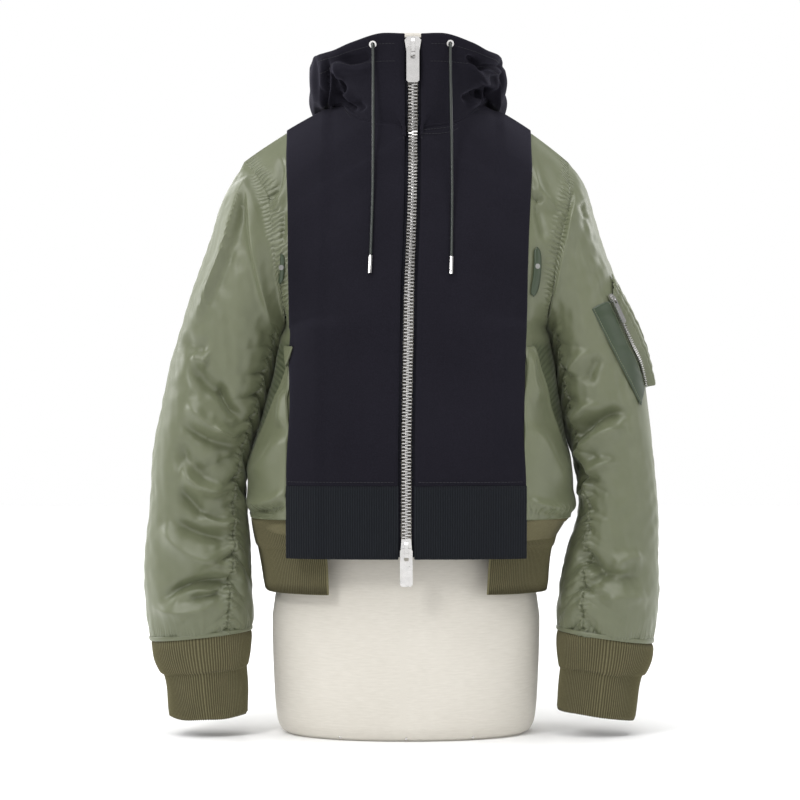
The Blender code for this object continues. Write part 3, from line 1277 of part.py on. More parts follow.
def build_sleeve_pocket():
    steps = np.linspace(0.0, 1.0, 9)
    zip_line = [smooth(np.linspace(0, 1, len(POCKET_ZIP)), POCKET_ZIP, t) for t in steps]
    left_line = [smooth(np.linspace(0, 1, len(PATCH_LEFT)), PATCH_LEFT, t) for t in steps]
    zip_spots = [sleeve_at(*spot) for spot in zip_line]
    left_spots = [sleeve_at(*spot) for spot in left_line]
    beside = 0.0037 / 0.42  # of a turn
    top = POCKET_GAP + POCKET_WALL
    rows = []
    for (v_zip, turn_zip), (v_left, turn_left) in zip(zip_spots, left_spots):
        start = turn_zip + beside
        row = []
        for share in (0.0, 0.34, 0.67, 1.0):
            v = v_zip + (v_left - v_zip) * share
            row.append((v, start + (max(turn_left, start + 0.006) - start) * share, top))
        rows.append(row)
    sheet_over("sleeve_pocket", rows, POCKET_WALL, DARK_GREEN)
    rows = []
    for t, (v, turn) in zip(steps, zip_spots):
        start = turn - beside
        bulge = PEN_BULGE * math.sin(math.pi * min(1.0, 0.15 + 0.85 * t)) ** 0.7
        reach = PEN_REACH * (0.55 + 0.45 * math.sin(math.pi * t))
        row = []
        for share in (0.0, 0.22, 0.5, 0.78, 1.0):
            lift = top + bulge * math.sin(math.pi * share) ** 2
            row.append((v - 0.25 * share * (1 - t), start - reach * share, lift))
        rows.append(row)
    sheet_over("pen_pocket", rows, POCKET_WALL, SAGE)

    v, turn = zip_spots[0]
    (v_next, turn_next) = zip_spots[2]
    low, high = over_sleeve(v_next, turn_next, 0.0), over_sleeve(v, turn, 0.0)
    along = unit(high - low)
    out = sleeve_normal(v, turn)
    out = unit(out - (out @ along) * along)
    across = np.cross(along, out)
    face = POCKET_GAP + POCKET_SLIDER.depth
    frame = Frame(high + face * out, across, along, out)
    make_slider("pocket_slider", frame, POCKET_SLIDER, POCKET_BRIDGE, False)
    make_pull("pocket_pull", frame, POCKET_PULL)

    skin = Skin()
    rings = []
    places = np.linspace(0.0, 1.0, 13)
    keys = np.linspace(0.0, 1.0, len(zip_spots))
    centre = [smooth(keys, zip_spots, t) for t in places]
    for i, (v, turn) in enumerate(centre):
        if i == 0:
            v, turn = smooth(keys, zip_spots, 0.047)
        low, high = POCKET_GAP, POCKET_GAP + POCKET_CHAIN_DEPTH
        normal = sleeve_normal(v, turn)
        here = on_sleeve(1, v, turn)
        before = on_sleeve(1, *centre[max(i - 1, 0)])
        after = on_sleeve(1, *centre[min(i + 1, len(centre) - 1)])
        side = unit(np.cross(after - before, normal)) * POCKET_CHAIN_HALF
        rings.append(skin.add([here + high * normal - side, here + high * normal + side,
                               here + low * normal + side, here + low * normal - side]))
    for first, second in zip(rings, rings[1:]):
        skin.ring_strip(first, second)
    for ring in (rings[0], rings[-1]):
        skin.faces += [(ring[0], ring[1], ring[2]), (ring[0], ring[2], ring[3])]
    make("pocket_zip", skin.points, skin.faces, NICKEL)


# ---------------------------------------------------------------- tabs on the fronts
def row_at(side, x, height):
    low, high = 1.0, 8.0
    for _ in range(40):
        v = (low + high) / 2
        if on_body(FRONT, side, v, across_at(FRONT, side, v, x))[2] > height:
            low = v
        else:
            high = v
    return v


def build_tabs():
    for side, word in SIDES.items():
        tab = TABS[side]
        skin = Skin()
        lanes = [[], [], []]
        gap = 0.0008
        for height in np.linspace(tab.top, tab.low, 6):
            for lane, x in zip(lanes, np.linspace(tab.inner, tab.outer, 3)):
                v = row_at(side, x, height)
                lane += skin.add([raised(FRONT, side, v, across_at(FRONT, side, v, x), gap + POCKET_WALL)])
        for first, second in zip(lanes, lanes[1:]):
            skin.strip(first, second)
        points, faces = shell(skin, POCKET_WALL, (lanes[1][2], (0.0, -1.0, 0.0)))
        make(f"tab_{word}", points, faces, DARK_GREEN)
        v = row_at(side, tab.snap_across, tab.snap_height)
        s = across_at(FRONT, side, v, tab.snap_across)
        out = body_normal(FRONT, side, v, s)
        across = unit(ACROSS - (ACROSS @ out) * out)
        frame = Frame(raised(FRONT, side, v, s, gap + POCKET_WALL + LAID), across, np.cross(out, across), out)
        points, faces = disc(frame, SNAP_RADIUS, None, 0.0, SNAP_DEPTH)
        make(f"snap_{word}", points, faces, NICKEL)


def main():
    for old in list(bpy.data.objects):
        bpy.data.objects.remove(old)
    build_form()
    build_nylon_fronts()
    build_pocket_flaps()
    build_back()
    build_hem_rib()
    build_jersey_fronts()
    build_hood()
    build_sleeves()
    build_cuffs()
    build_zip()
    build_main_sliders()
    build_cords()
    build_sleeve_pocket()
    build_tabs()


main()
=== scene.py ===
"""Looks of the hooded drawstring jacket on its dress form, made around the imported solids.

Metres, +Z up. The front faces -Y, left and right are the viewer's. Fine cloth surfaces are worked
out from the same tables as the solids, then creased, gathered and stitched.
"""

import math
from collections import namedtuple

import bpy
import numpy as np
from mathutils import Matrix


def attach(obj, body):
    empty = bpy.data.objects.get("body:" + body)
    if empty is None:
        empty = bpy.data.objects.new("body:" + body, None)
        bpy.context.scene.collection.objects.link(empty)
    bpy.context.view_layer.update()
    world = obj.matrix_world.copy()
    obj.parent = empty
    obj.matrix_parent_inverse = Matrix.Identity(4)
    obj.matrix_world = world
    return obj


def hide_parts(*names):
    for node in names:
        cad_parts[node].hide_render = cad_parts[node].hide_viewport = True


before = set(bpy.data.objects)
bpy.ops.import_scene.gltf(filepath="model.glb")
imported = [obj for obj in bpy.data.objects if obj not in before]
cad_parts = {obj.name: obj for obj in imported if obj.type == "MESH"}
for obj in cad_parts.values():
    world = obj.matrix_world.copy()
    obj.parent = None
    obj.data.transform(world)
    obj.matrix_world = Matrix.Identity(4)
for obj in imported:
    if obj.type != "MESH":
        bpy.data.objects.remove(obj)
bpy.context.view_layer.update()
ROOT = "garment"

# ---------------------------------------------------------------- sizes shared with the solids
NYLON = 0.0025
JERSEY = 0.0025
RIB = 0.003
SEAM = 0.0003
LAID = 0.0004
AXIS_X, AXIS_Y = 0.0043, -0.0158
ZIP_EDGE = 0.010
GREEN_EDGE = {-1: 0.104, 1: 0.110}
LIFT_START = 0.016
SHOULDER_X = 0.186
SIDES = {-1: "left", 1: "right"}

Body = namedtuple("Body", "inner_x inner_y inner_z left right outer_y outer_z rise full")
FRONT = (
    Body(0.080, 0.000, 0.7205, 0.1860, 0.1860, 0.000, 0.654, 0.0045, 0.00),
    Body(0.072, -0.032, 0.7085, 0.1700, 0.1850, -0.034, 0.634, 0.0035, 0.00),
    Body(0.050, -0.062, 0.6925, 0.1580, 0.1825, -0.058, 0.610, 0.0020, 0.00),
    Body(0.000, -0.084, 0.6805, 0.1520, 0.1770, -0.073, 0.583, 0.0000, 0.00),
    Body(0.000, -0.095, 0.6450, 0.1480, 0.1710, -0.083, 0.554, 0.0000, 0.00),
    Body(0.000, -0.110, 0.6000, 0.1440, 0.1650, -0.084, 0.525, 0.0000, 0.05),
    Body(0.000, -0.124, 0.5500, 0.1400, 0.1620, -0.076, 0.496, 0.0000, 0.15),
    Body(0.000, -0.132, 0.5000, 0.1375, 0.1590, -0.050, 0.470, 0.0000, 0.50),
    Body(0.000, -0.1345, 0.455, 0.1370, 0.1570, 0.000, 0.457, 0.0000, 1.00),
    Body(0.000, -0.1345, 0.420, 0.1420, 0.1630, 0.000, 0.420, 0.0000, 1.00),
    Body(0.000, -0.134, 0.3500, 0.1600, 0.1740, 0.000, 0.350, 0.0000, 1.00),
    Body(0.000, -0.134, 0.2851, 0.1770, 0.1880, 0.000, 0.285, 0.0000, 1.00),
    Body(0.000, -0.134, 0.2620, 0.1800, 0.1920, 0.000, 0.262, 0.0000, 1.00),
    Body(0.000, -0.134, 0.2475, 0.1770, 0.1870, 0.000, 0.2475, 0.0000, 1.00),
    Body(0.000, -0.134, 0.2052, 0.1770, 0.1870, 0.000, 0.2052, 0.0000, 1.00),
)
FRONT_NECK, FRONT_UNDERARM, FRONT_BAND, FRONT_HEM_ROW, FRONT_LAST_ROW = 3, 8, 11, 13, 14
BACK = (
    Body(0.080, 0.000, 0.7205, 0.1860, 0.1860, 0.000, 0.654, 0.0045, 0.00),
    Body(0.070, 0.036, 0.7200, 0.1780, 0.1855, 0.036, 0.632, 0.0040, 0.00),
    Body(0.045, 0.060, 0.7195, 0.1680, 0.1830, 0.060, 0.605, 0.0030, 0.00),
    Body(0.000, 0.070, 0.7190, 0.1600, 0.1780, 0.075, 0.575, 0.0000, 0.00),
    Body(0.000, 0.094, 0.6800, 0.1530, 0.1720, 0.082, 0.545, 0.0000, 0.00),
    Body(0.000, 0.110, 0.6200, 0.1460, 0.1660, 0.078, 0.512, 0.0000, 0.10),
    Body(0.000, 0.118, 0.5500, 0.1400, 0.1600, 0.055, 0.478, 0.0000, 0.40),
    Body(0.000, 0.122, 0.4550, 0.1370, 0.1570, 0.000, 0.457, 0.0000, 1.00),
    Body(0.000, 0.124, 0.4200, 0.1420, 0.1630, 0.000, 0.420, 0.0000, 1.00),
    Body(0.000, 0.128, 0.3500, 0.1600, 0.1740, 0.000, 0.350, 0.0000, 1.00),
    Body(0.000, 0.131, 0.2850, 0.1770, 0.1880, 0.000, 0.285, 0.0000, 1.00),
    Body(0.000, 0.131, 0.2620, 0.1800, 0.1920, 0.000, 0.262, 0.0000, 1.00),
    Body(0.000, 0.128, 0.2475, 0.1770, 0.1870, 0.000, 0.2475, 0.0000, 1.00),
)
BACK_NECK, BACK_UNDERARM, BACK_HEM_ROW = 3, 7, 12
WRAP_POWER, FLAT_POWER = 2.8, 2.4

Edge = namedtuple("Edge", "height across")
JERSEY_EDGE = (
    Edge(0.205, 0.1310),
    Edge(0.285, 0.1315),
    Edge(0.350, 0.1290),
    Edge(0.455, 0.1310),
    Edge(0.550, 0.1330),
    Edge(0.640, 0.1370),
    Edge(0.690, 0.1390),
)
Lean = namedtuple("Lean", "height shift")
LEAN = (
    Lean(0.330, 0.0),
    Lean(0.450, 0.0022),
    Lean(0.500, 0.0029),
    Lean(0.560, 0.0053),
    Lean(0.620, 0.0070),
    Lean(0.680, 0.0075),
    Lean(0.800, 0.0075),
)

Sleeve = namedtuple("Sleeve", "outer_x outer_z inner_x inner_z centre_y depth square")
SLEEVE_ROWS = {
    -1: (
        Sleeve(0.1860, 0.654, 0.1370, 0.457, -0.002, 0.084, 2.2),
        Sleeve(0.2035, 0.622, 0.1412, 0.447, -0.002, 0.082, 2.2),
        Sleeve(0.2200, 0.577, 0.1452, 0.433, -0.003, 0.079, 2.2),
        Sleeve(0.2400, 0.522, 0.1515, 0.405, -0.006, 0.076, 2.3),
        Sleeve(0.2600, 0.454, 0.1620, 0.363, -0.010, 0.073, 2.3),
        Sleeve(0.2790, 0.376, 0.1770, 0.317, -0.014, 0.071, 2.3),
        Sleeve(0.2900, 0.300, 0.1835, 0.262, -0.018, 0.067, 2.3),
        Sleeve(0.2940, 0.233, 0.1760, 0.212, -0.022, 0.064, 2.3),
        Sleeve(0.2957, 0.175, 0.1745, 0.165, -0.026, 0.062, 2.3),
        Sleeve(0.2945, 0.138, 0.1735, 0.136, -0.028, 0.059, 2.2),
        Sleeve(0.2900, 0.107, 0.1765, 0.120, -0.030, 0.052, 2.2),
    ),
    1: (
        Sleeve(0.1860, 0.654, 0.1570, 0.457, -0.002, 0.084, 2.2),
        Sleeve(0.2035, 0.628, 0.1618, 0.447, -0.002, 0.082, 2.2),
        Sleeve(0.2170, 0.590, 0.1662, 0.433, -0.003, 0.079, 2.2),
        Sleeve(0.2370, 0.528, 0.1715, 0.402, -0.006, 0.076, 2.3),
        Sleeve(0.2640, 0.458, 0.1770, 0.360, -0.010, 0.073, 2.3),
        Sleeve(0.2750, 0.380, 0.1890, 0.314, -0.014, 0.071, 2.3),
        Sleeve(0.2830, 0.303, 0.1980, 0.260, -0.018, 0.067, 2.3),
        Sleeve(0.2865, 0.233, 0.1850, 0.212, -0.022, 0.064, 2.3),
        Sleeve(0.2872, 0.175, 0.1755, 0.165, -0.026, 0.062, 2.3),
        Sleeve(0.2850, 0.138, 0.1725, 0.136, -0.028, 0.059, 2.2),
        Sleeve(0.2800, 0.104, 0.1725, 0.120, -0.030, 0.052, 2.2),
    ),
}
LAST_SLEEVE_ROW = 10
ARMHOLE_BLEND = 2.5
Seam = namedtuple("Seam", "row turn")
INSEAM = (Seam(0.0, 0.425), Seam(2.0, 0.405), Seam(5.0, 0.400), Seam(8.0, 0.350), Seam(10.0, 0.335))

Cuff = namedtuple("Cuff", "outer_x outer_z inner_x inner_z centre_y depth")
CUFF_ROWS = {
    -1: (
        Cuff(0.2900, 0.1066, 0.1765, 0.1196, -0.030, 0.052),
        Cuff(0.2865, 0.0860, 0.1765, 0.0950, -0.031, 0.048),
        Cuff(0.2795, 0.0700, 0.1790, 0.0790, -0.032, 0.045),
        Cuff(0.2765, 0.0680, 0.1805, 0.0770, -0.032, 0.0425),
        Cuff(0.2700, 0.0400, 0.1810, 0.0450, -0.034, 0.0395),
        Cuff(0.2657, 0.0196, 0.1806, 0.0240, -0.035, 0.038),
    ),
    1: (
        Cuff(0.2800, 0.1036, 0.1725, 0.1196, -0.030, 0.052),
        Cuff(0.2765, 0.0850, 0.1725, 0.0950, -0.031, 0.048),
        Cuff(0.2705, 0.0690, 0.1735, 0.0780, -0.032, 0.045),
        Cuff(0.2675, 0.0670, 0.1750, 0.0760, -0.032, 0.0425),
        Cuff(0.2630, 0.0400, 0.1725, 0.0480, -0.034, 0.0395),
        Cuff(0.2600, 0.0180, 0.1710, 0.0300, -0.035, 0.038),
    ),
}
CUFF_SQUARE = 2.2

Hood = namedtuple("Hood", "around out1 up1 out2 up2 out3 up3 out4 up4")
HOOD = (
    Hood(0.00, 0.0800, 0.7080, 0.0785, 0.7350, 0.0790, 0.7610, 0.0820, 0.7873),
    Hood(0.12, 0.0800, 0.7110, 0.0800, 0.7370, 0.0820, 0.7620, 0.0865, 0.7890),
    Hood(0.25, 0.0800, 0.7170, 0.0850, 0.7400, 0.0925, 0.7600, 0.0970, 0.7800),
    Hood(0.34, 0.0815, 0.7240, 0.0895, 0.7430, 0.0985, 0.7580, 0.1030, 0.7730),
    Hood(0.42, 0.0870, 0.7215, 0.0980, 0.7340, 0.1060, 0.7530, 0.1080, 0.7715),
    Hood(0.50, 0.0960, 0.7180, 0.1070, 0.7240, 0.1110, 0.7480, 0.1085, 0.7735),
    Hood(0.60, 0.0980, 0.7170, 0.1120, 0.7120, 0.1190, 0.7370, 0.1160, 0.7720),
    Hood(0.70, 0.1030, 0.7100, 0.1230, 0.6880, 0.1370, 0.7200, 0.1320, 0.7700),
    Hood(0.85, 0.1120, 0.6820, 0.1360, 0.6150, 0.1620, 0.6750, 0.1540, 0.7660),
    Hood(1.00, 0.1150, 0.6650, 0.1420, 0.5750, 0.1720, 0.6500, 0.1600, 0.7640),
)
HOOD_START = 0.05
HOOD_SPREAD = {-1: 1.03, 1: 0.965}
HoodFold = namedtuple("HoodFold", "side around width up height push")
HOOD_FOLDS = (
    HoodFold(-1, 0.375, 0.030, 0.45, 0.24, -0.0110),
    HoodFold(-1, 0.300, 0.050, 0.66, 0.10, 0.0055),
    HoodFold(-1, 0.260, 0.080, 0.82, 0.08, -0.0045),
    HoodFold(-1, 0.450, 0.022, 0.60, 0.30, -0.0050),
    HoodFold(1, 0.400, 0.032, 0.40, 0.22, -0.0110),
    HoodFold(1, 0.330, 0.050, 0.55, 0.10, 0.0060),
    HoodFold(1, 0.270, 0.060, 0.75, 0.08, -0.0050),
    HoodFold(1, 0.460, 0.022, 0.55, 0.30, -0.0050),
    HoodFold(-1, 0.780, 0.060, 0.80, 0.25, 0.0090),
    HoodFold(1, 0.740, 0.060, 0.78, 0.25, 0.0090),
)

Girth = namedtuple("Girth", "height half front back")
HEM_RIB = (
    Girth(0.2360, 0.1745, 0.124, 0.126),
    Girth(0.2160, 0.1695, 0.119, 0.123),
    Girth(0.2130, 0.1675, 0.117, 0.121),
    Girth(0.1950, 0.1650, 0.114, 0.119),
    Girth(0.1640, 0.1630, 0.112, 0.117),
)
RIB_SQUARE = 2.6
FORM = (
    Girth(0.0000, 0.1365, 0.096, 0.094),
    Girth(0.0045, 0.1430, 0.102, 0.100),
    Girth(0.0170, 0.1478, 0.106, 0.106),
    Girth(0.0450, 0.1506, 0.107, 0.112),
    Girth(0.1290, 0.1535, 0.103, 0.118),
    Girth(0.2400, 0.1240, 0.088, 0.086),
    Girth(0.2850, 0.1150, 0.084, 0.075),
    Girth(0.3500, 0.1200, 0.094, 0.078),
    Girth(0.4550, 0.1285, 0.119, 0.091),
    Girth(0.5500, 0.1380, 0.098, 0.094),
    Girth(0.5900, 0.1430, 0.085, 0.088),
    Girth(0.6200, 0.1450, 0.072, 0.078),
    Girth(0.6400, 0.1490, 0.064, 0.070),
    Girth(0.6580, 0.1465, 0.055, 0.060),
    Girth(0.6760, 0.1330, 0.048, 0.050),
    Girth(0.6892, 0.1146, 0.044, 0.044),
    Girth(0.7025, 0.0886, 0.042, 0.041),
    Girth(0.7165, 0.0620, 0.045, 0.044),
    Girth(0.7260, 0.0575, 0.047, 0.047),
    Girth(0.7400, 0.0550, 0.050, 0.050),
    Girth(0.7860, 0.0520, 0.048, 0.049),
    Girth(0.7930, 0.0495, 0.046, 0.046),
    Girth(0.7955, 0.0450, 0.041, 0.042),
)
FORM_SQUARE = 2.15

POCKET_TOP_ROW = 8.6
FLAP_GAP = 0.0009

CORD_RADIUS = 0.0016
EYELET_DEPTH = 0.0016
Cord = namedtuple("Cord", "eyelet_x eyelet_z end_x end_z")
CORDS = {-1: Cord(-0.0441, 0.7778, -0.0436, 0.5385), 1: Cord(0.0420, 0.7785, 0.0455, 0.5375)}
CORD_GAP = 0.0008
CORD_STEP = 0.0080
TOP_HINGE_Z, LOW_HINGE_Z = 0.7735, 0.2155

# ---------------------------------------------------------------- the camera
EYE_HEIGHT = 0.3795
EYE_AWAY = 2.85
EYE_SIDE = -0.0069
WIDE_AT_FORM = 0.92


# ---------------------------------------------------------------- curves and small maths
def slopes_at_keys(rises):
    """A slope for each key from the rises between them, level where the curve turns round."""
    before, after = rises[:-1], rises[1:]
    same_way = before * after > 0
    total = np.where(same_way, before + after, 1.0)
    middle = np.where(same_way, 2 * before * after / total, 0.0)
    return np.concatenate([rises[:1], middle, rises[-1:]])


def lengths_along(line):
    """How far along a line of points each of them lies."""
    return np.append(0.0, np.cumsum(np.linalg.norm(np.diff(line, axis=0), axis=1)))


def read_line(line, lengths, at):
    """Points of a line, or the values beside them, at some lengths along it."""
    return np.stack([np.interp(at, lengths, line[:, k]) for k in range(3)], -1)


def smooth(keys, rows, at):
    """Rows of a table read at any keys, on a cubic that doesn't swing past any of them."""
    keys = np.asarray(keys, float)
    rows = np.asarray(rows, float)
    at = np.asarray(at, float)
    steps = np.diff(keys)
    rises = np.diff(rows, axis=0) / steps[:, None]
    slopes = slopes_at_keys(rises)
    i = np.clip(np.searchsorted(keys, at) - 1, 0, len(keys) - 2)
    step = steps[i][..., None]
    t = (at - keys[i])[..., None] / step
    start = (1 + 2 * t) * (1 - t) ** 2 * rows[i] + t * (1 - t) ** 2 * step * slopes[i]
    end = t * t * (3 - 2 * t) * rows[i + 1] + t * t * (t - 1) * step * slopes[i + 1]
    return start + end


def by_height(table, height):
    table = sorted(table)
    keys = [row[0] for row in table]
    return smooth(keys, [row[1:] for row in table], np.clip(height, keys[0], keys[-1]))


def ease(value, low, high):
    t = np.clip((value - low) / (high - low), 0.0, 1.0)
    return t * t * (3 - 2 * t)


def unit(vectors):
    return vectors / np.linalg.norm(vectors, axis=-1, keepdims=True)


def power(value, exponent):
    return np.copysign(np.abs(value) ** exponent, value)


def bump(away, width):
    return np.exp(-((away / width) ** 2))


def leaned(points):
    share = np.maximum(0.0, 1 - (points[..., 0] / SHOULDER_X) ** 2)
    moved = points.copy()
    moved[..., 0] += by_height(LEAN, points[..., 2])[..., 0] * share
    return moved


def placed(points, worn=True):
    """From the form's own middle line to the frame."""
    return (leaned(points) if worn else points) + np.array([AXIS_X, AXIS_Y, 0.0])


def seen(points):
    """Where points show in the picture: across and height, in metres, in the plane of the form."""
    shrink = 1 + points[..., 1] / EYE_AWAY
    return points[..., 0] / shrink, EYE_HEIGHT + (points[..., 2] - EYE_HEIGHT) / shrink


def ripple(at, pitch, seed):
    """An uneven wave from -1 to 1 whose waves are about one pitch long."""
    random = np.random.default_rng(seed)
    total = 0.0
    for stretch, share in ((1.0, 0.5), (1.73, 0.3), (0.61, 0.2)):
        total = total + share * np.sin(2 * math.pi * (at / (pitch * stretch) + random.random()))
    return total


WAVES = 14


def rumple(points, pitch, seed, stretch):
    """Soft uneven dents from -1 to 1: waves in every direction, drawn out by stretch."""
    random = np.random.default_rng(seed)
    total = 0.0
    for _ in range(WAVES):
        heading = unit(random.normal(size=3)) / np.array(stretch)
        turns = points @ heading / pitch * random.uniform(0.7, 1.4) + random.random()
        total = total + np.sin(2 * math.pi * turns)
    return total / math.sqrt(WAVES)


# Soft dents of a cloth: how high, how far apart, which draw, and how far they are drawn out.
Dents = namedtuple("Dents", "height pitch seed stretch", defaults=((1.0, 1.0, 1.0),))
SLEEVE_DENTS = Dents(0.0016, 0.075, 51, (0.8, 1.0, 1.8))
SLEEVE_SMALL_DENTS = Dents(0.0004, 0.024, 61, (0.6, 0.6, 1.0))
CUFF_DENTS = Dents(0.0012, 0.06, 71)
HEM_DENTS = Dents(0.0014, 0.09, 81)
FRONT_DENTS = Dents(0.0010, 0.05, 95)
BACK_DENTS = Dents(0.0010, 0.06, 105)
HOOD_DENTS = Dents(0.0013, 0.055, 111)
JERSEY_DENTS = Dents(0.0009, 0.11, 121)


def dented(points, dents, side=0):
    return dents.height * rumple(points, dents.pitch, dents.seed + side, dents.stretch)


# ---------------------------------------------------------------- surfaces of the solids
def body_row(rows, side, v):
    """(a row of a table at v, where it starts across, where it ends)."""
    row = Body(*np.moveaxis(smooth(range(len(rows)), rows, v), -1, 0))
    return row, np.maximum(row.inner_x, 0.0), row.right if side > 0 else row.left


def on_body(rows, side, v, s):
    v, s = np.broadcast_arrays(np.asarray(v, float), np.asarray(s, float))
    row, inner_x, outer_x = body_row(rows, side, v)
    s = np.clip(s, 0.0, 1.0)
    wrapped = 1 - (1 - s**WRAP_POWER) ** (1 / WRAP_POWER)
    turn = row.full * wrapped + (1 - row.full) * s**FLAT_POWER
    return np.stack([
        side * (inner_x + (outer_x - inner_x) * s),
        row.inner_y + (row.outer_y - row.inner_y) * turn,
        row.inner_z + (row.outer_z - row.inner_z) * s + 4 * row.rise * s * (1 - s),
    ], -1)


def body_normal(rows, side, v, s):
    step = 0.004
    last = len(rows) - 1
    v, s = np.broadcast_arrays(np.asarray(v, float), np.asarray(s, float))
    lower = on_body(rows, side, np.minimum(v + step, last), s)
    down = lower - on_body(rows, side, np.maximum(v - step, 0), s)
    across = on_body(rows, side, v, s + step) - on_body(rows, side, v, s - step)
    normal = unit(np.cross(down, across))
    here = on_body(rows, side, v, s)
    away = here - np.stack([0 * here[..., 0], 0 * here[..., 0], np.minimum(here[..., 2], 0.6)], -1)
    facing = np.sign(np.sum(normal * away, -1, keepdims=True))
    return normal * facing


def raised(rows, side, v, s, height):
    return on_body(rows, side, v, s) + np.asarray(height)[..., None] * body_normal(rows, side, v, s)


def across_at(rows, side, v, x):
    _, inner_x, outer_x = body_row(rows, side, v)
    return np.clip((x - inner_x) / (outer_x - inner_x), 0.0, 1.0)


def jersey_edge_at(side, v):
    s = np.full(np.shape(v), 0.9)
    for _ in range(4):
        s = across_at(FRONT, side, v, by_height(JERSEY_EDGE, on_body(FRONT, side, v, s)[..., 2])[..., 0])
    return s


def armhole(side, turn, inset):
    turn = np.asarray(turn, float)
    front = on_body(FRONT, side, np.clip(2 * turn * FRONT_UNDERARM, 0, FRONT_UNDERARM), 1.0)
    back = on_body(BACK, side, np.clip(2 * (1 - turn) * BACK_UNDERARM, 0, BACK_UNDERARM), 1.0)
    point = np.where((turn <= 0.5)[..., None], front, back)
    middle = (on_body(FRONT, side, 0, 1.0) + on_body(FRONT, side, FRONT_UNDERARM, 1.0)) / 2
    return point + inset * unit(middle - point)


def ring_point(row, side, turn, square):
    """A point of a sleeve's or cuff's section. row holds arrays."""
    angle = 2 * math.pi * turn
    along = power(np.cos(angle), 2 / square)
    front = power(np.sin(angle), 2 / square)
    x = (row.outer_x + row.inner_x) / 2 + (row.outer_x - row.inner_x) / 2 * along
    z = (row.outer_z + row.inner_z) / 2 + (row.outer_z - row.inner_z) / 2 * along
    return np.stack([side * x, row.centre_y - row.depth * front, z], -1)


def on_sleeve(side, v, turn):
    v, turn = np.broadcast_arrays(np.asarray(v, float), np.asarray(turn, float))
    rows = SLEEVE_ROWS[side]
    row = Sleeve(*np.moveaxis(smooth(range(len(rows)), rows, v), -1, 0))
    point = ring_point(row, side, turn, row.square)
    blend = (np.maximum(0.0, 1 - v / ARMHOLE_BLEND) ** 2)[..., None]
    start = ring_point(rows[0], side, turn, rows[0].square)
    return point + blend * (armhole(side, turn % 1.0, 0.0) - start)


def neck_corner(rows, side, v):
    return on_body(rows, side, v, across_at(rows, side, v, ZIP_EDGE) if rows is FRONT else 0.0)


def neck_point(side, around):
    front_v = FRONT_NECK * np.clip((0.5 - around) / (0.5 - HOOD_START), 0.0, 1.0)
    back_v = BACK_NECK * np.clip(2 * around - 1, 0.0, 1.0)
    front, back = neck_corner(FRONT, side, front_v), neck_corner(BACK, side, back_v)
    point = np.where((around <= 0.5)[..., None], front, back)
    return point + np.array([0.0, 0.0, SEAM + 0.0002])


def on_hood(side, around, up):
    around, up = np.broadcast_arrays(np.asarray(around, float), np.asarray(up, float))
    neck = neck_point(side, around)
    profile = smooth([row.around for row in HOOD], [row[1:] for row in HOOD], around)
    angle = math.pi * around
    heading = np.stack([side * np.sin(angle), -np.cos(angle), 0 * angle], -1)
    stops = [neck]
    for i in range(4):
        out, height = profile[..., 2 * i, None], profile[..., 2 * i + 1, None]
        stops.append(heading * out + height * np.array([0.0, 0.0, 1.0]))
    stops = np.stack(stops, 0)
    shape = stops.shape[1:-1]
    flat = stops.reshape(5, -1)
    ups = np.repeat(up.reshape(-1), 3)
    point = read_each(np.linspace(0, 1, 5), flat, ups).reshape(*shape, 3)
    push = np.zeros(shape)
    for fold in HOOD_FOLDS:
        if fold.side == side:
            push += fold.push * bump(around - fold.around, fold.width) * bump(up - fold.up, fold.height)
    share = ease(around, 0.2, 0.5) * ease(-around, -1.0, -0.6) * ease(up, 0.0, 0.3)
    spread = 1 + (HOOD_SPREAD[side] - 1) * share
    point = point + heading * push[..., None]
    point[..., 0] *= spread
    return point


def read_each(keys, values, at):
    """Like smooth, for many curves at once: values holds a column for each curve, at one key each."""
    steps = np.diff(keys)
    rises = np.diff(values, axis=0) / steps[:, None]
    slopes = slopes_at_keys(rises)
    i = np.clip(np.searchsorted(keys, at) - 1, 0, len(keys) - 2)
    column = np.arange(values.shape[1])
    step = steps[i]
    t = (at - keys[i]) / step
    start = (1 + 2 * t) * (1 - t) ** 2 * values[i, column] + t * (1 - t) ** 2 * step * slopes[i, column]
    end = t * t * (3 - 2 * t) * values[i + 1, column] + t * t * (t - 1) * step * slopes[i + 1, column]
    return start + end


def girth_point(table, height, angle, square):
    half, front, back = np.moveaxis(by_height(table, height), -1, 0)
    depth = np.where(np.cos(angle) >= 0, front, back)
    across, along = np.abs(np.sin(angle)) / half, np.abs(np.cos(angle)) / depth
    reach = (across**square + along**square) ** (-1 / square)
    return np.stack([reach * np.sin(angle), -reach * np.cos(angle), height + 0 * angle], -1)


# ---------------------------------------------------------------- meshes
SHARP_CLOTH = math.radians(48)
SHARP_METAL = math.radians(40)


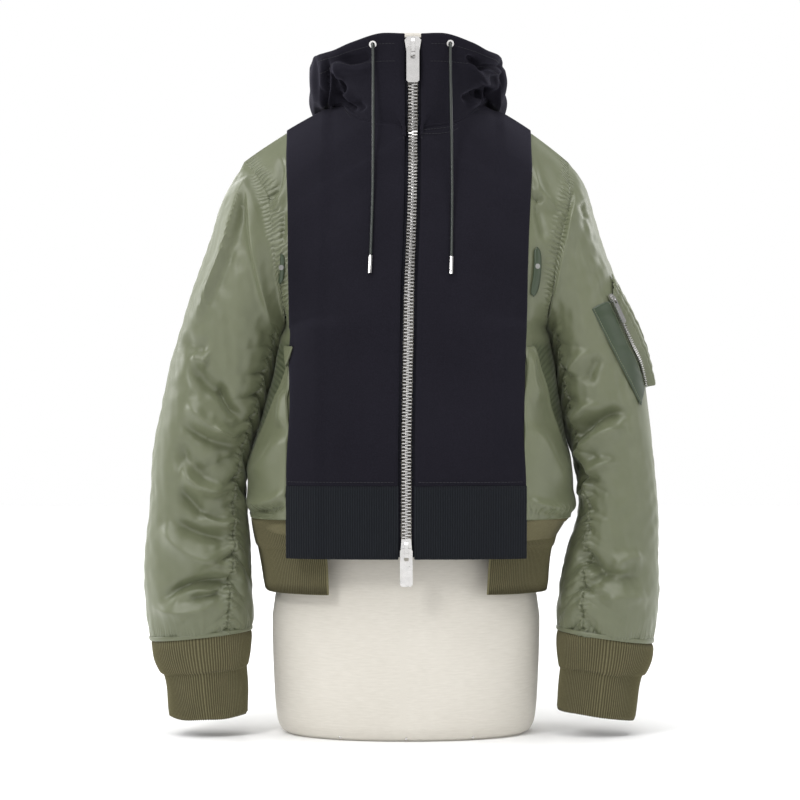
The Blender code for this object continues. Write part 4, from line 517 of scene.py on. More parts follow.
def make_mesh(name, points, faces, uvs=None, marks=None):
    """faces is a list of index arrays, one for quads and one for triangles."""
    mesh = bpy.data.meshes.new(name)
    counts = np.concatenate([np.full(len(part), part.shape[1]) for part in faces])
    corners = np.concatenate([part.reshape(-1) for part in faces])
    mesh.vertices.add(len(points))
    mesh.vertices.foreach_set("co", points.astype(np.float32).reshape(-1))
    mesh.loops.add(len(corners))
    mesh.loops.foreach_set("vertex_index", corners.astype(np.int32))
    mesh.polygons.add(len(counts))
    mesh.polygons.foreach_set("loop_start", (np.cumsum(counts) - counts).astype(np.int32))
    if uvs is not None:
        layer = mesh.uv_layers.new(name="cut")
        layer.data.foreach_set("uv", uvs[corners].astype(np.float32).reshape(-1))
    for word, values in (marks or {}).items():
        attribute = mesh.attributes.new(word, "FLOAT", "POINT")
        attribute.data.foreach_set("value", values.astype(np.float32))
    mesh.update(calc_edges=True)
    mesh.validate()
    mesh.shade_smooth()
    mesh.set_sharp_from_angle(angle=SHARP_CLOTH)
    return mesh


def add_object(name, data):
    made = bpy.data.objects.new(name, data)
    bpy.context.scene.collection.objects.link(made)
    return made


def add_piece(name, mesh, material, body=ROOT, stands_for=()):
    mesh.materials.append(material)
    piece = add_object(name, mesh)
    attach(piece, body)
    if stands_for:
        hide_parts(*stands_for)
    return piece


def grid_normals(points, closed):
    down = np.gradient(points, axis=0)
    if closed:
        across = (np.roll(points, -1, axis=1) - np.roll(points, 1, axis=1)) / 2
    else:
        across = np.gradient(points, axis=1)
    return unit(np.cross(down, across))


def tube_normals(points):
    """Normals of a closed grid that point away from its middle line."""
    centre = points.mean(axis=1, keepdims=True)
    normals = grid_normals(points, True)
    return normals * np.sign(np.sum(normals * (points - centre), -1).mean())


def facing_out(points, closed, outward):
    """Normals of a grid that point to its outer side."""
    normals = grid_normals(points, closed)
    middle = normals[len(points) // 2, points.shape[1] // 2]
    return normals if middle @ np.array(outward, float) > 0 else -normals


def every(count, step):
    return np.unique(np.append(np.arange(0, count, step), count - 1))


def strip(a, b, at_a, at_b):
    """Triangles between two lines of points, which may differ in number."""
    faces = []
    i = j = 0
    while i < len(a) - 1 or j < len(b) - 1:
        a_next = at_a[i + 1] if i < len(a) - 1 else math.inf
        b_next = at_b[j + 1] if j < len(b) - 1 else math.inf
        if a_next <= b_next:
            faces.append((a[i], a[i + 1], b[j]))
            i += 1
        else:
            faces.append((a[i], b[j + 1], b[j]))
            j += 1
    return faces


def quads_of(indices, closed):
    right = np.roll(indices, -1, axis=1) if closed else indices[:, 1:]
    left = indices if closed else indices[:, :-1]
    return np.stack([left[:-1], left[1:], right[1:], right[:-1]], -1).reshape(-1, 4)


ROLL = 0.3  # how far an edge's outer line sinks, as a share of the wall
ROUND = 0.35  # how far an edge bulges


def cloth(points, thickness, outward, closed=False, step=3, marks=None):
    """A closed wall: a fine outer side, rounded edges and a coarser inner side."""
    rows, columns = points.shape[:2]
    normals = facing_out(points, closed, outward)
    flip = grid_normals(points, closed)[rows // 2, columns // 2] @ normals[rows // 2, columns // 2] < 0
    outer = points.copy()
    for index in (0, -1):
        outer[index] -= ROLL * thickness * normals[index]
    if not closed:
        for index in (0, -1):
            outer[1:-1, index] -= ROLL * thickness * normals[1:-1, index]
    indices = np.arange(rows * columns).reshape(rows, columns)
    ri, ci = every(rows, step), every(columns, step)
    if closed:
        ci = np.arange(0, columns, step)
    inner = points[np.ix_(ri, ci)] - thickness * normals[np.ix_(ri, ci)]
    inner_indices = rows * columns + np.arange(inner.shape[0] * inner.shape[1]).reshape(inner.shape[:2])
    u, w = lengths_along(points[rows // 2]), lengths_along(points[:, columns // 2])
    uv = np.stack(np.meshgrid(u, w), -1)
    all_points = [outer.reshape(-1, 3), inner.reshape(-1, 3)]
    all_uvs = [uv.reshape(-1, 2), uv[np.ix_(ri, ci)].reshape(-1, 2)]
    marks = {word: np.broadcast_to(values, (rows, columns)) for word, values in (marks or {}).items()}
    all_marks = {}
    for word, values in marks.items():
        all_marks[word] = [values.reshape(-1), values[np.ix_(ri, ci)].reshape(-1)]
    count = rows * columns + inner_indices.size
    triangles = []

    def edge_middle(index_rows, index_columns, out):
        """Adds a line of points halfway round an edge, and returns their numbers."""
        nonlocal count
        at = points[index_rows, index_columns]
        normal = normals[index_rows, index_columns]
        middle = at - (ROLL + 1) / 2 * thickness * normal + ROUND * thickness * out
        start = count
        count += len(middle)
        all_points.append(middle)
        all_uvs.append(uv[index_rows, index_columns])
        for word, values in marks.items():
            all_marks[word].append(values[index_rows, index_columns])
        return list(range(start, count))

    def close_edge(line, middle, inner_line, params, inner_params):
        triangles.extend(strip(list(line), middle, params, params))
        triangles.extend(strip(middle, list(inner_line), params, inner_params))

    c, r = np.arange(columns), np.arange(rows)
    if closed:
        for row, near, turn in ((0, 1, 1), (-1, -2, -1)):
            middle = edge_middle(row, c, unit(points[row] - points[near]))
            ring = np.append(c, 0)[::turn]
            inner_ring = np.append(np.arange(len(ci)), 0)[::turn]
            params = np.append(c / columns, 1.0)
            inner_params = np.append(ci / columns, 1.0)
            if turn < 0:
                params, inner_params = 1 - params[::-1], 1 - inner_params[::-1]
            close_edge(indices[row, ring], [middle[i] for i in ring], inner_indices[row, inner_ring],
                       params, inner_params)
    else:
        c_share, ci_share = c / (columns - 1), ci / (columns - 1)
        r_share, ri_share = r / (rows - 1), ri / (rows - 1)
        loops = [
            (0 * c, c, inner_indices[0], c_share, ci_share),
            (r, 0 * r + columns - 1, inner_indices[:, -1], r_share, ri_share),
            (0 * c + rows - 1, c[::-1], inner_indices[-1, ::-1], c_share, 1 - ci_share[::-1]),
            (r[::-1], 0 * r, inner_indices[::-1, 0], r_share, 1 - ri_share[::-1]),
        ]
        steps = ((1, 0), (0, -1), (-1, 0), (0, 1))
        middles = []
        ends = []
        for (index_rows, index_columns, inner_line, params, inner_params), (dr, dc) in zip(loops, steps):
            near_rows = np.clip(index_rows + dr, 0, rows - 1)
            near_columns = np.clip(index_columns + dc, 0, columns - 1)
            out = unit(points[index_rows, index_columns] - points[near_rows, near_columns])
            middles.append(edge_middle(index_rows, index_columns, out))
            close_edge(indices[index_rows, index_columns], middles[-1], inner_line, params, inner_params)
            ends.append((indices[index_rows[-1], index_columns[-1]], inner_line[-1]))
        for k in range(4):
            first, second = middles[k][-1], middles[(k + 1) % 4][0]
            outer_corner, inner_corner = ends[k]
            triangles.append((outer_corner, second, first))
            triangles.append((first, second, inner_corner))
    quads = quads_of(indices, closed)
    inner_quads = quads_of(inner_indices, closed)[:, ::-1]
    triangles = np.array(triangles)
    if flip:
        quads, inner_quads, triangles = quads[:, ::-1], inner_quads[:, ::-1], triangles[:, ::-1]
    return (np.vstack(all_points), [np.vstack([quads, inner_quads]), triangles],
            np.vstack(all_uvs), {word: np.concatenate(values) for word, values in all_marks.items()})


CUTS = {}  # width, length and area of the flat cloth of each piece that shows


def cut_of(points, closed):
    """Width, length and area of a grid of points as it would lie flat."""
    grid = np.concatenate([points, points[:, :1]], axis=1) if closed else points
    across, down = np.diff(grid, axis=1), np.diff(grid, axis=0)
    width = np.linalg.norm(across, axis=-1).sum(axis=1).max()
    length = np.linalg.norm(down, axis=-1).sum(axis=0).max()
    area = np.linalg.norm(np.cross(across[:-1], down[:, :-1]), axis=-1).sum()
    return float(width), float(length), float(area)


def cloth_piece(name, points, thickness, outward, material, slot, stands_for, worn=True, **options):
    CUTS[name] = cut_of(points, options.get("closed", False))
    made, faces, uvs, values = cloth(placed(points, worn), thickness, outward, **options)
    return add_piece(name, make_mesh(name, made, faces, uvs, values), material, stands_for=stands_for)


def end_caps(first, last):
    """Triangles that close both ends of a tube, from the rings of its ends."""
    inner = range(1, len(first) - 1)
    return np.array([(first[0], first[i], first[i + 1]) for i in inner]
                    + [(last[0], last[i + 1], last[i]) for i in inner])


def tube_mesh(line, radius, sides=8, flat=1.0, normal=None, closed=False):
    """A round or flattened tube along a line of points."""
    line = np.array(line, float)
    if closed:
        ahead = np.roll(line, -1, axis=0) - np.roll(line, 1, axis=0)
    else:
        ahead = np.gradient(line, axis=0)
    ahead = unit(ahead)
    up = np.tile([0.0, 0.0, 1.0], (len(line), 1)) if normal is None else np.array(normal, float)
    across = unit(np.cross(ahead, up))
    up = np.cross(across, ahead)
    turns = 2 * math.pi * np.arange(sides) / sides
    radius = np.broadcast_to(np.asarray(radius, float), (len(line),))[:, None, None]
    ring = (radius * (np.cos(turns)[None, :, None] * across[:, None]
                      + flat * np.sin(turns)[None, :, None] * up[:, None]))
    points = (line[:, None] + ring).reshape(-1, 3)
    indices = np.arange(len(points)).reshape(len(line), sides)
    if closed:
        indices = np.vstack([indices, indices[:1]])
    quads = quads_of(indices, True)
    faces = [quads[:, ::-1]]
    if not closed:
        last = indices[-1]
        faces.append(end_caps(indices[0], last))
    return points, faces


def join_meshes(parts):
    """One set of points and faces from several."""
    points, quads, triangles = [], [], []
    count = 0
    for part_points, part_faces in parts:
        points.append(part_points)
        for block in part_faces:
            (quads if block.shape[1] == 4 else triangles).append(block + count)
        count += len(part_points)
    faces = [np.vstack(block) for block in (quads, triangles) if block]
    return np.vstack(points), faces


def joined_piece(name, parts, material, stands_for=()):
    made, faces = join_meshes(parts)
    return add_piece(name, make_mesh(name, made, faces), material, stands_for=stands_for)


STITCH = 0.0028
STITCH_GAP = 0.0010
THREAD = 0.00028
THREAD_LIFT = 0.0002
THREAD_SIDES = 5
# A stitch from end to end: shares of its length, and heights as shares of the thread.
STITCH_SHARES = np.array([0.0, 0.18, 0.5, 0.82, 1.0])
STITCH_BOW = np.array([-0.6, 0.25, 0.6, 0.25, -0.6])


def stitches_along(line, normals, length=STITCH, gap=STITCH_GAP, thread=THREAD):
    """Small raised threads along a line, each bowed down at its ends."""
    line = np.array(line, float)
    normals = np.array(normals, float)
    lengths = lengths_along(line)
    starts = np.arange(0.0, lengths[-1] - length, length + gap)
    heights = STITCH_BOW * thread
    at = starts[:, None] + STITCH_SHARES * length
    path = read_line(line, lengths, at)
    up = unit(read_line(normals, lengths, at))
    path = path + heights[None, :, None] * up
    ahead = unit(np.gradient(path, axis=1))
    across = unit(np.cross(ahead, up))
    turns = 2 * math.pi * np.arange(THREAD_SIDES) / THREAD_SIDES
    ring = thread * (np.cos(turns)[None, None, :, None] * across[:, :, None]
                     + np.sin(turns)[None, None, :, None] * np.cross(across, ahead)[:, :, None])
    points = (path[:, :, None] + ring).reshape(-1, 3)
    block = np.arange(len(STITCH_SHARES) * THREAD_SIDES).reshape(-1, THREAD_SIDES)
    quads = quads_of(block, True)
    caps = end_caps(block[0], block[-1])
    offsets = (np.arange(len(starts)) * block.size)[:, None, None]
    return points, [(quads[None, :, ::-1] + offsets).reshape(-1, 4), (caps[None] + offsets).reshape(-1, 3)]


# ---------------------------------------------------------------- materials
PUCKER = 0.0060  # from one pucker of a gathered seam to the next
NOISE_LOW, NOISE_HIGH = 0.3, 0.7  # a noise seldom leaves this range
MIX_SHARE, MIX_FIRST, MIX_SECOND = 0, 6, 7  # sockets of a mix node that mixes colours
MIX_RESULT = 2


def new_material(name, colour, roughness, metallic=0.0, **sockets):
    material = bpy.data.materials.new(name)
    material.use_nodes = True
    shader = material.node_tree.nodes["Principled BSDF"]
    shader.inputs["Base Color"].default_value = (*colour, 1.0)
    shader.inputs["Roughness"].default_value = roughness
    shader.inputs["Metallic"].default_value = metallic
    for word, value in sockets.items():
        socket = shader.inputs[word.replace("_", " ")]
        socket.default_value = (*value, 1.0) if isinstance(value, tuple) else value
    return material


class Nodes:
    """Short ways to add and link a material's nodes."""

    def __init__(self, material):
        self.tree = material.node_tree
        self.shader = self.tree.nodes["Principled BSDF"]
        self.place = self.add("ShaderNodeTexCoord")

    def add(self, kind, settings=None, **inputs):
        node = self.tree.nodes.new(kind)
        for word, value in (settings or {}).items():
            setattr(node, word, value)
        for word, value in inputs.items():
            numbered = word.startswith("n") and word[1:].isdigit()
            socket = node.inputs[int(word[1:]) if numbered else word.replace("_", " ")]
            if isinstance(value, bpy.types.NodeSocket):
                self.tree.links.new(value, socket)
            else:
                socket.default_value = value
        return node

    def link(self, output, name):
        self.tree.links.new(output, self.shader.inputs[name])

    def noise(self, scale, detail=3.0, roughness=0.5, vector=None, stretch=None):
        vector = vector or self.place.outputs["Object"]
        if stretch:
            vector = self.add("ShaderNodeMapping", Vector=vector, Scale=stretch).outputs["Vector"]
        node = self.add("ShaderNodeTexNoise", Vector=vector, Scale=scale, Detail=detail,
                        Roughness=roughness)
        return node.outputs["Fac"]

    def waves(self, direction, scale, distortion, detail=1.0, vector=None, **inputs):
        """Bands along one direction, over the flat cloth unless another vector is given."""
        node = self.add("ShaderNodeTexWave", {"bands_direction": direction, "wave_type": "BANDS"},
                        Vector=vector or self.place.outputs["UV"], Scale=scale, Distortion=distortion,
                        Detail=detail, **inputs)
        return node.outputs["Fac"]

    def mark(self, word):
        return self.add("ShaderNodeAttribute", {"attribute_name": word}).outputs["Fac"]

    def between(self, value, low, high, to_low, to_high):
        return self.add("ShaderNodeMapRange", n0=value, n1=low, n2=high, n3=to_low, n4=to_high).outputs[0]

    def spread(self, noise, to_low, to_high):
        """A noise's middle range, spread from one value to another."""
        return self.between(noise, NOISE_LOW, NOISE_HIGH, to_low, to_high)

    def mixed(self, share, first, second):
        node = self.add("ShaderNodeMix", {"data_type": "RGBA"})
        for index, value in ((MIX_SHARE, share), (MIX_FIRST, first), (MIX_SECOND, second)):
            if isinstance(value, bpy.types.NodeSocket):
                self.tree.links.new(value, node.inputs[index])
            elif index:
                node.inputs[index].default_value = (*value, 1.0)
            else:
                node.inputs[index].default_value = value
        return node.outputs[MIX_RESULT]

    def maths(self, operation, first, second=0.0):
        return self.add("ShaderNodeMath", {"operation": operation}, n0=first, n1=second).outputs[0]

    def raise_by(self, height, strength, distance, before=None):
        node = self.add("ShaderNodeBump", Strength=strength, Distance=distance, Height=height)
        if before is not None:
            self.tree.links.new(before, node.inputs["Normal"])
        return node.outputs["Normal"]


def nylon_material(name, dark, light, sheen=0.22):
    """Padded nylon twill with a satin face. It puckers beside the seams that the marks measure from:
    one mark is how far along the nearest gathered seam a point lies, the other how far away."""
    material = new_material(name, dark, 0.45, Specular_IOR_Level=0.60, Sheen_Weight=sheen,
                            Sheen_Roughness=0.45, Sheen_Tint=(0.75, 0.80, 0.62))
    nodes = Nodes(material)
    cloudy = nodes.noise(5.0, 4.0)
    fine = nodes.noise(55.0, 3.0)
    share = nodes.maths("ADD", nodes.spread(cloudy, 0.0, 0.6),
                        nodes.spread(fine, 0.0, 0.4))
    along = nodes.mark("along")
    near = nodes.mark("near")
    drift = nodes.spread(nodes.noise(60.0, 2.0), -1.1, 1.1)
    phase = nodes.maths("ADD", nodes.maths("MULTIPLY", along, math.pi / PUCKER), drift)
    wave = nodes.maths("ABSOLUTE", nodes.maths("SINE", phase))
    uneven = nodes.spread(nodes.noise(75.0, 2.0), 0.55, 1.05)
    reach = nodes.maths("MULTIPLY", near, uneven)
    pucker = nodes.maths("MULTIPLY", wave, reach)
    # Painted highlight: the crests of the puckers are painted paler in the base colour, as well as bumped.
    pale = nodes.between(pucker, 0.2, 0.9, 0.0, 0.35)
    nodes.link(nodes.mixed(nodes.maths("ADD", share, pale), dark, light), "Base Color")
    nodes.link(nodes.spread(nodes.noise(20.0, 4.0), 0.38, 0.47), "Roughness")
    twill = nodes.waves("DIAGONAL", 520.0, 0.6)
    bumped = nodes.raise_by(twill, 0.10, 0.0002)
    bumped = nodes.raise_by(nodes.noise(90.0, 4.0, 0.6), 0.12, 0.0010, bumped)
    bumped = nodes.raise_by(pucker, 0.85, 0.0022, bumped)
    nodes.link(bumped, "Normal")
    return material


def add_pocket_mouth_shade(material, mouth_shade_colour):
    """Inside the slash pockets' mouths the nylon gets a painted shade, with slanting rows of stitching that
    also vary it.
    """
    nodes = Nodes(material)
    colour = nodes.shader.inputs["Base Color"].links[0].from_socket
    normal = nodes.shader.inputs["Normal"].links[0].from_socket
    pocket_mouth_shade = nodes.mark("pocket_mouth_shade")
    rows = nodes.waves("DIAGONAL", 95.0, 0.8)
    shade = nodes.maths("MULTIPLY", pocket_mouth_shade, nodes.between(rows, 0.0, 1.0, 1.0, 0.55))
    nodes.link(nodes.mixed(shade, colour, mouth_shade_colour), "Base Color")
    nodes.link(nodes.raise_by(nodes.maths("MULTIPLY", rows, pocket_mouth_shade), 0.6, 0.0010, normal), "Normal")


def rib_material(name, dark, light):
    """Knit with painted shade in its grooves: the mark is 0 in the grooves between ribs, painted in the
    dark colour, and 1 on them.
    """
    material = new_material(name, light, 0.9, Specular_IOR_Level=0.10, Sheen_Weight=0.05,
                            Sheen_Roughness=0.6)
    nodes = Nodes(material)
    mark = nodes.mark("mark")
    fuzz = nodes.noise(420.0, 3.0, 0.65)
    share = nodes.maths("MULTIPLY", mark, nodes.between(fuzz, 0.2, 0.8, 0.55, 1.05))
    nodes.link(nodes.mixed(share, dark, light), "Base Color")
    knit = nodes.waves("Y", 240.0, 1.5)
    bumped = nodes.raise_by(knit, 0.25, 0.0004)
    bumped = nodes.raise_by(fuzz, 0.3, 0.0006, bumped)
    nodes.link(bumped, "Normal")
    return material


def jersey_material(name, dark, light):
    """Heavy matt jersey with a fine knit and a little lint."""
    material = new_material(name, dark, 0.95, Specular_IOR_Level=0.08, Sheen_Weight=0.10,
                            Sheen_Roughness=0.5, Sheen_Tint=(0.45, 0.43, 0.6))
    nodes = Nodes(material)
    cloud = nodes.noise(9.0, 4.0)
    grain = nodes.noise(750.0, 2.0, 0.7)
    share = nodes.maths("ADD", nodes.spread(cloud, 0.0, 0.35),
                        nodes.between(grain, 0.35, 0.75, 0.0, 0.65))
    nodes.link(nodes.mixed(share, dark, light), "Base Color")
    knit = nodes.maths("MULTIPLY", nodes.waves("X", 420.0, 1.2), nodes.waves("Y", 330.0, 1.2))
    bumped = nodes.raise_by(knit, 0.3, 0.0003)
    bumped = nodes.raise_by(grain, 0.25, 0.0004, bumped)
    nodes.link(bumped, "Normal")
    return material


def linen_material(name, dark, light):
    material = new_material(name, light, 0.88, Specular_IOR_Level=0.2, Sheen_Weight=0.15)
    nodes = Nodes(material)
    flat = nodes.place.outputs["UV"]
    warp = nodes.waves("X", 330.0, 2.0, 2.0, Detail_Scale=3.0)
    weft = nodes.waves("Y", 330.0, 2.0, 2.0, Detail_Scale=3.0)
    weave = nodes.maths("MULTIPLY", warp, weft)
    slubs = nodes.noise(60.0, 5.0, 0.6, vector=flat, stretch=(1.0, 9.0, 1.0))
    cloud = nodes.noise(7.0, 4.0)
    share = nodes.maths("ADD", nodes.spread(slubs, 0.0, 0.5),
                        nodes.spread(cloud, 0.1, 0.5))
    nodes.link(nodes.mixed(share, dark, light), "Base Color")
    bumped = nodes.raise_by(weave, 0.25, 0.0004)
    bumped = nodes.raise_by(slubs, 0.15, 0.0006, bumped)
    nodes.link(bumped, "Normal")
    return material


def metal_material(name, colour, roughness, wear):
    material = new_material(name, colour, roughness, 1.0)
    nodes = Nodes(material)
    smudge = nodes.noise(160.0, 4.0, 0.6)
    nodes.link(nodes.spread(smudge, roughness * 0.8, roughness * 1.5), "Roughness")
    dull = tuple(part * wear for part in colour)
    nodes.link(nodes.mixed(nodes.between(smudge, 0.35, 0.75, 1.0, 0.0), dull, colour), "Base Color")
    nodes.link(nodes.raise_by(nodes.noise(300.0, 2.0), 0.02, 0.0002), "Normal")
    return material


def cord_material(name, dark, light):
    material = new_material(name, dark, 0.3, Specular_IOR_Level=0.7)
    nodes = Nodes(material)
    braid = nodes.waves("Z", 260.0, 2.5, vector=nodes.place.outputs["Object"])
    nodes.link(nodes.mixed(nodes.between(braid, 0.2, 0.8, 0.0, 1.0), dark, light), "Base Color")
    nodes.link(nodes.raise_by(braid, 0.3, 0.0003), "Normal")
    return material


SAGE_DARK, SAGE_LIGHT = (0.100, 0.112, 0.060), (0.128, 0.140, 0.082)
SAGE = nylon_material("sage nylon", SAGE_DARK, SAGE_LIGHT)
DARK_GREEN = nylon_material("dark green nylon", (0.018, 0.033, 0.013), (0.028, 0.046, 0.020), 0.03)
# In each rib material the first colour is the painted shade of the grooves between ribs, the second the
# knit's own colour.
OLIVE_RIB = rib_material("olive rib", (0.060, 0.053, 0.027), (0.160, 0.146, 0.080))
NAVY_RIB = rib_material("navy rib", (0.005, 0.006, 0.008), (0.0105, 0.0125, 0.0165))
NAVY = jersey_material("navy jersey", (0.0068, 0.0064, 0.0096), (0.0130, 0.0120, 0.0180))
TAPE_CLOTH = jersey_material("navy tape", (0.005, 0.005, 0.007), (0.010, 0.010, 0.014))
LINEN = linen_material("linen", (0.56, 0.53, 0.47), (0.68, 0.65, 0.59))
NICKEL = metal_material("nickel", (0.66, 0.65, 0.64), 0.20, 0.90)
SNAP_METAL = metal_material("snap metal", (0.26, 0.26, 0.25), 0.34, 0.80)
CORD_GLOSS = cord_material("dark cord", (0.006, 0.009, 0.007), (0.020, 0.028, 0.022))
SAGE_FRONT = nylon_material("sage nylon front", SAGE_DARK, SAGE_LIGHT)
# The front nylon gets a painted shade in this darker colour inside the slash pockets' mouths.
add_pocket_mouth_shade(SAGE_FRONT, (0.040, 0.052, 0.024))
SAGE_THREAD = new_material("sage thread", (0.150, 0.165, 0.100), 0.6)
NAVY_THREAD = new_material("navy thread", (0.013, 0.013, 0.018), 0.7)


# ---------------------------------------------------------------- creases
CREASE_WIDTH, CREASE_DEPTH = 1.15, 1.75
RIDGE_POWER, VALLEY_POWER = 1.6, 1.8
TAPER_FROM, TAPER_TO = -0.15, 0.25  # where a crease fades in and out, as shares of its length
# A crease is drawn in the picture's plane: from one place to another (across, height), bowed
# sideways at its middle, with a half width, an uneven cross-section and a depth (down is less).
Crease = namedtuple("Crease", "x0 z0 x1 z1 bow width skew depth")


def creased(points, creases):
    """How far the creases push each point out."""
    across, height = seen(leaned(points))
    push = np.zeros(points.shape[:-1])
    for crease in creases:
        run = np.array([crease.x1 - crease.x0, crease.z1 - crease.z0])
        length = float(np.hypot(*run))
        dx, dz = across - crease.x0, height - crease.z0
        t = (dx * run[0] + dz * run[1]) / length**2
        away = (dx * run[1] - dz * run[0]) / length - 4 * crease.bow * t * (1 - t)
        width = CREASE_WIDTH * np.where(away > 0, crease.width * crease.skew, crease.width / crease.skew)
        taper = ease(t, TAPER_FROM, TAPER_TO) * ease(1 - t, TAPER_FROM, TAPER_TO)
        crest = RIDGE_POWER if crease.depth > 0 else VALLEY_POWER
        push += CREASE_DEPTH * crease.depth * np.exp(-np.abs(away / width) ** crest) * taper
    return push


def gathers(along, away, pitch, reach, height, seed, slant=0.0):
    """Puckers square to a seam, round on top with sharp valleys between, and uneven in reach."""
    far = np.abs(away)
    uneven = 0.62 + 0.38 * ripple(along, pitch * 3.1, seed)
    reaches = reach * (0.70 + 0.45 * ripple(along, pitch * 4.3, seed + 1))
    phase = (along + slant * far) / pitch + 0.30 * ripple(along, pitch * 5.0, seed + 2)
    wave = 1.6 * np.abs(np.sin(math.pi * phase)) ** 0.8 - 1.0
    return height * uneven * wave * np.exp(-((far / np.maximum(reaches, pitch / 3)) ** 1.6))


def seam_groove(away, width, depth):
    return -depth * bump(away, width)


# Folds as they lie in the picture, in metres across from its middle and up from the floor.
LEFT_SLEEVE = (
    Crease(-0.1810, 0.6310, -0.2358, 0.4764, -0.004, 0.0050, 1.9, 0.0085),
    Crease(-0.1799, 0.6288, -0.1585, 0.4741, 0.006, 0.0060, 0.55, 0.0060),
    Crease(-0.2576, 0.4488, -0.2300, 0.4373, 0.002, 0.0100, 1.0, -0.0040),
    Crease(-0.2450, 0.4304, -0.2280, 0.4235, 0.002, 0.0070, 1.0, 0.0045),
    Crease(-0.2460, 0.4200, -0.2060, 0.3840, 0.006, 0.0080, 0.8, -0.0060),
    Crease(-0.2140, 0.3945, -0.1900, 0.3585, 0.003, 0.0052, 1.0, -0.0065),
    Crease(-0.2479, 0.3740, -0.2036, 0.3375, 0.004, 0.0078, 1.0, 0.0062),
    Crease(-0.2560, 0.3510, -0.1967, 0.3269, 0.004, 0.0060, 1.0, -0.0050),
    Crease(-0.2200, 0.3480, -0.1950, 0.3350, 0.002, 0.0045, 1.0, 0.0040),
    Crease(-0.2610, 0.3298, -0.2220, 0.2832, 0.007, 0.0085, 1.0, -0.0058),
    Crease(-0.2558, 0.3011, -0.2088, 0.2751, 0.010, 0.0082, 0.9, 0.0090),
    Crease(-0.2583, 0.2774, -0.2140, 0.2411, 0.005, 0.0065, 1.0, -0.0060),
    Crease(-0.2349, 0.2489, -0.2012, 0.2360, 0.003, 0.0055, 1.0, 0.0055),
    Crease(-0.2662, 0.2383, -0.2036, 0.2203, 0.004, 0.0065, 1.0, -0.0062),
    Crease(-0.2767, 0.2306, -0.2141, 0.1889, 0.008, 0.0110, 0.9, 0.0085),
    Crease(-0.2740, 0.1551, -0.2012, 0.1734, -0.006, 0.0062, 1.2, -0.0085),
    Crease(-0.2691, 0.1524, -0.2220, 0.1601, -0.004, 0.0065, 1.0, 0.0050),
    Crease(-0.2479, 0.1511, -0.2063, 0.1551, -0.002, 0.0045, 1.0, -0.0045),
    Crease(-0.2845, 0.1394, -0.2220, 0.1419, 0.005, 0.0085, 1.0, 0.0060),
    Crease(-0.1880, 0.2700, -0.1780, 0.2250, 0.000, 0.0050, 1.0, 0.0040),
)
RIGHT_SLEEVE = (
    Crease(0.1930, 0.6040, 0.1680, 0.5000, 0.004, 0.0060, 0.7, 0.0060),
    Crease(0.1900, 0.6160, 0.1740, 0.5590, 0.002, 0.0028, 1.0, -0.0035),
    Crease(0.2040, 0.6060, 0.2085, 0.5900, 0.001, 0.0030, 1.0, -0.0025),
    Crease(0.2230, 0.4280, 0.2080, 0.4010, 0.002, 0.0065, 1.0, -0.0045),
    Crease(0.2060, 0.4350, 0.1900, 0.4080, 0.002, 0.0055, 1.0, 0.0050),
    Crease(0.2140, 0.3760, 0.1930, 0.3500, 0.003, 0.0065, 1.0, 0.0065),
    Crease(0.2520, 0.3670, 0.1990, 0.3330, 0.007, 0.0065, 1.0, -0.0080),
    Crease(0.2450, 0.3470, 0.2000, 0.3120, 0.010, 0.0095, 0.9, 0.0085),
    Crease(0.2200, 0.2880, 0.1970, 0.3090, -0.003, 0.0055, 1.0, -0.0065),
    Crease(0.2390, 0.3090, 0.2080, 0.2820, 0.008, 0.0075, 1.0, 0.0070),
    Crease(0.2130, 0.2730, 0.1920, 0.2780, -0.002, 0.0050, 1.0, 0.0045),
    Crease(0.2390, 0.1790, 0.2000, 0.2060, -0.004, 0.0070, 1.0, -0.0080),
    Crease(0.2690, 0.1760, 0.2020, 0.1650, 0.009, 0.0085, 1.0, -0.0065),
    Crease(0.2560, 0.1830, 0.2060, 0.1720, 0.006, 0.0070, 1.0, 0.0065),
    Crease(0.2720, 0.1990, 0.2380, 0.1880, 0.003, 0.0080, 1.0, 0.0040),
    Crease(0.2750, 0.1520, 0.2260, 0.1480, 0.002, 0.0080, 1.0, 0.0040),
    Crease(0.1860, 0.3200, 0.1750, 0.2700, 0.001, 0.0045, 1.0, 0.0035),
)
SLEEVE_CREASES = {-1: LEFT_SLEEVE, 1: RIGHT_SLEEVE}


def mirrored(creases, drop):
    """The same creases for the hidden side: turned over, and moved down or up a little."""
    return [crease._replace(x0=-crease.x0, x1=-crease.x1, z0=crease.z0 + drop, z1=crease.z1 + drop,
                            bow=-crease.bow, skew=1 / crease.skew) for crease in creases]


def length_down(points):
    """Metres down a grid, along its middle column."""
    return lengths_along(points[:, points.shape[1] // 2])[:, None]


def pocket_calm(v, turn):
    """1 under the pocket on the right sleeve, where the cloth lies flat, and 0 away from it."""
    near = (turn + 0.5) % 1.0 - 0.5
    return ease(v, 3.0, 3.5) * ease(-v, -5.9, -5.4) * ease(near, -0.29, -0.24) * ease(-near, -0.17, -0.13)


Gather = namedtuple("Gather", "pitch reach height seed slant")
INSEAM_GATHERS = (
    Gather(PUCKER, 0.0070, 0.0012, 11, 0.0),
    Gather(0.0135, 0.024, 0.0030, 15, -0.5),
    Gather(0.0310, 0.050, 0.0046, 21, -0.7),
)


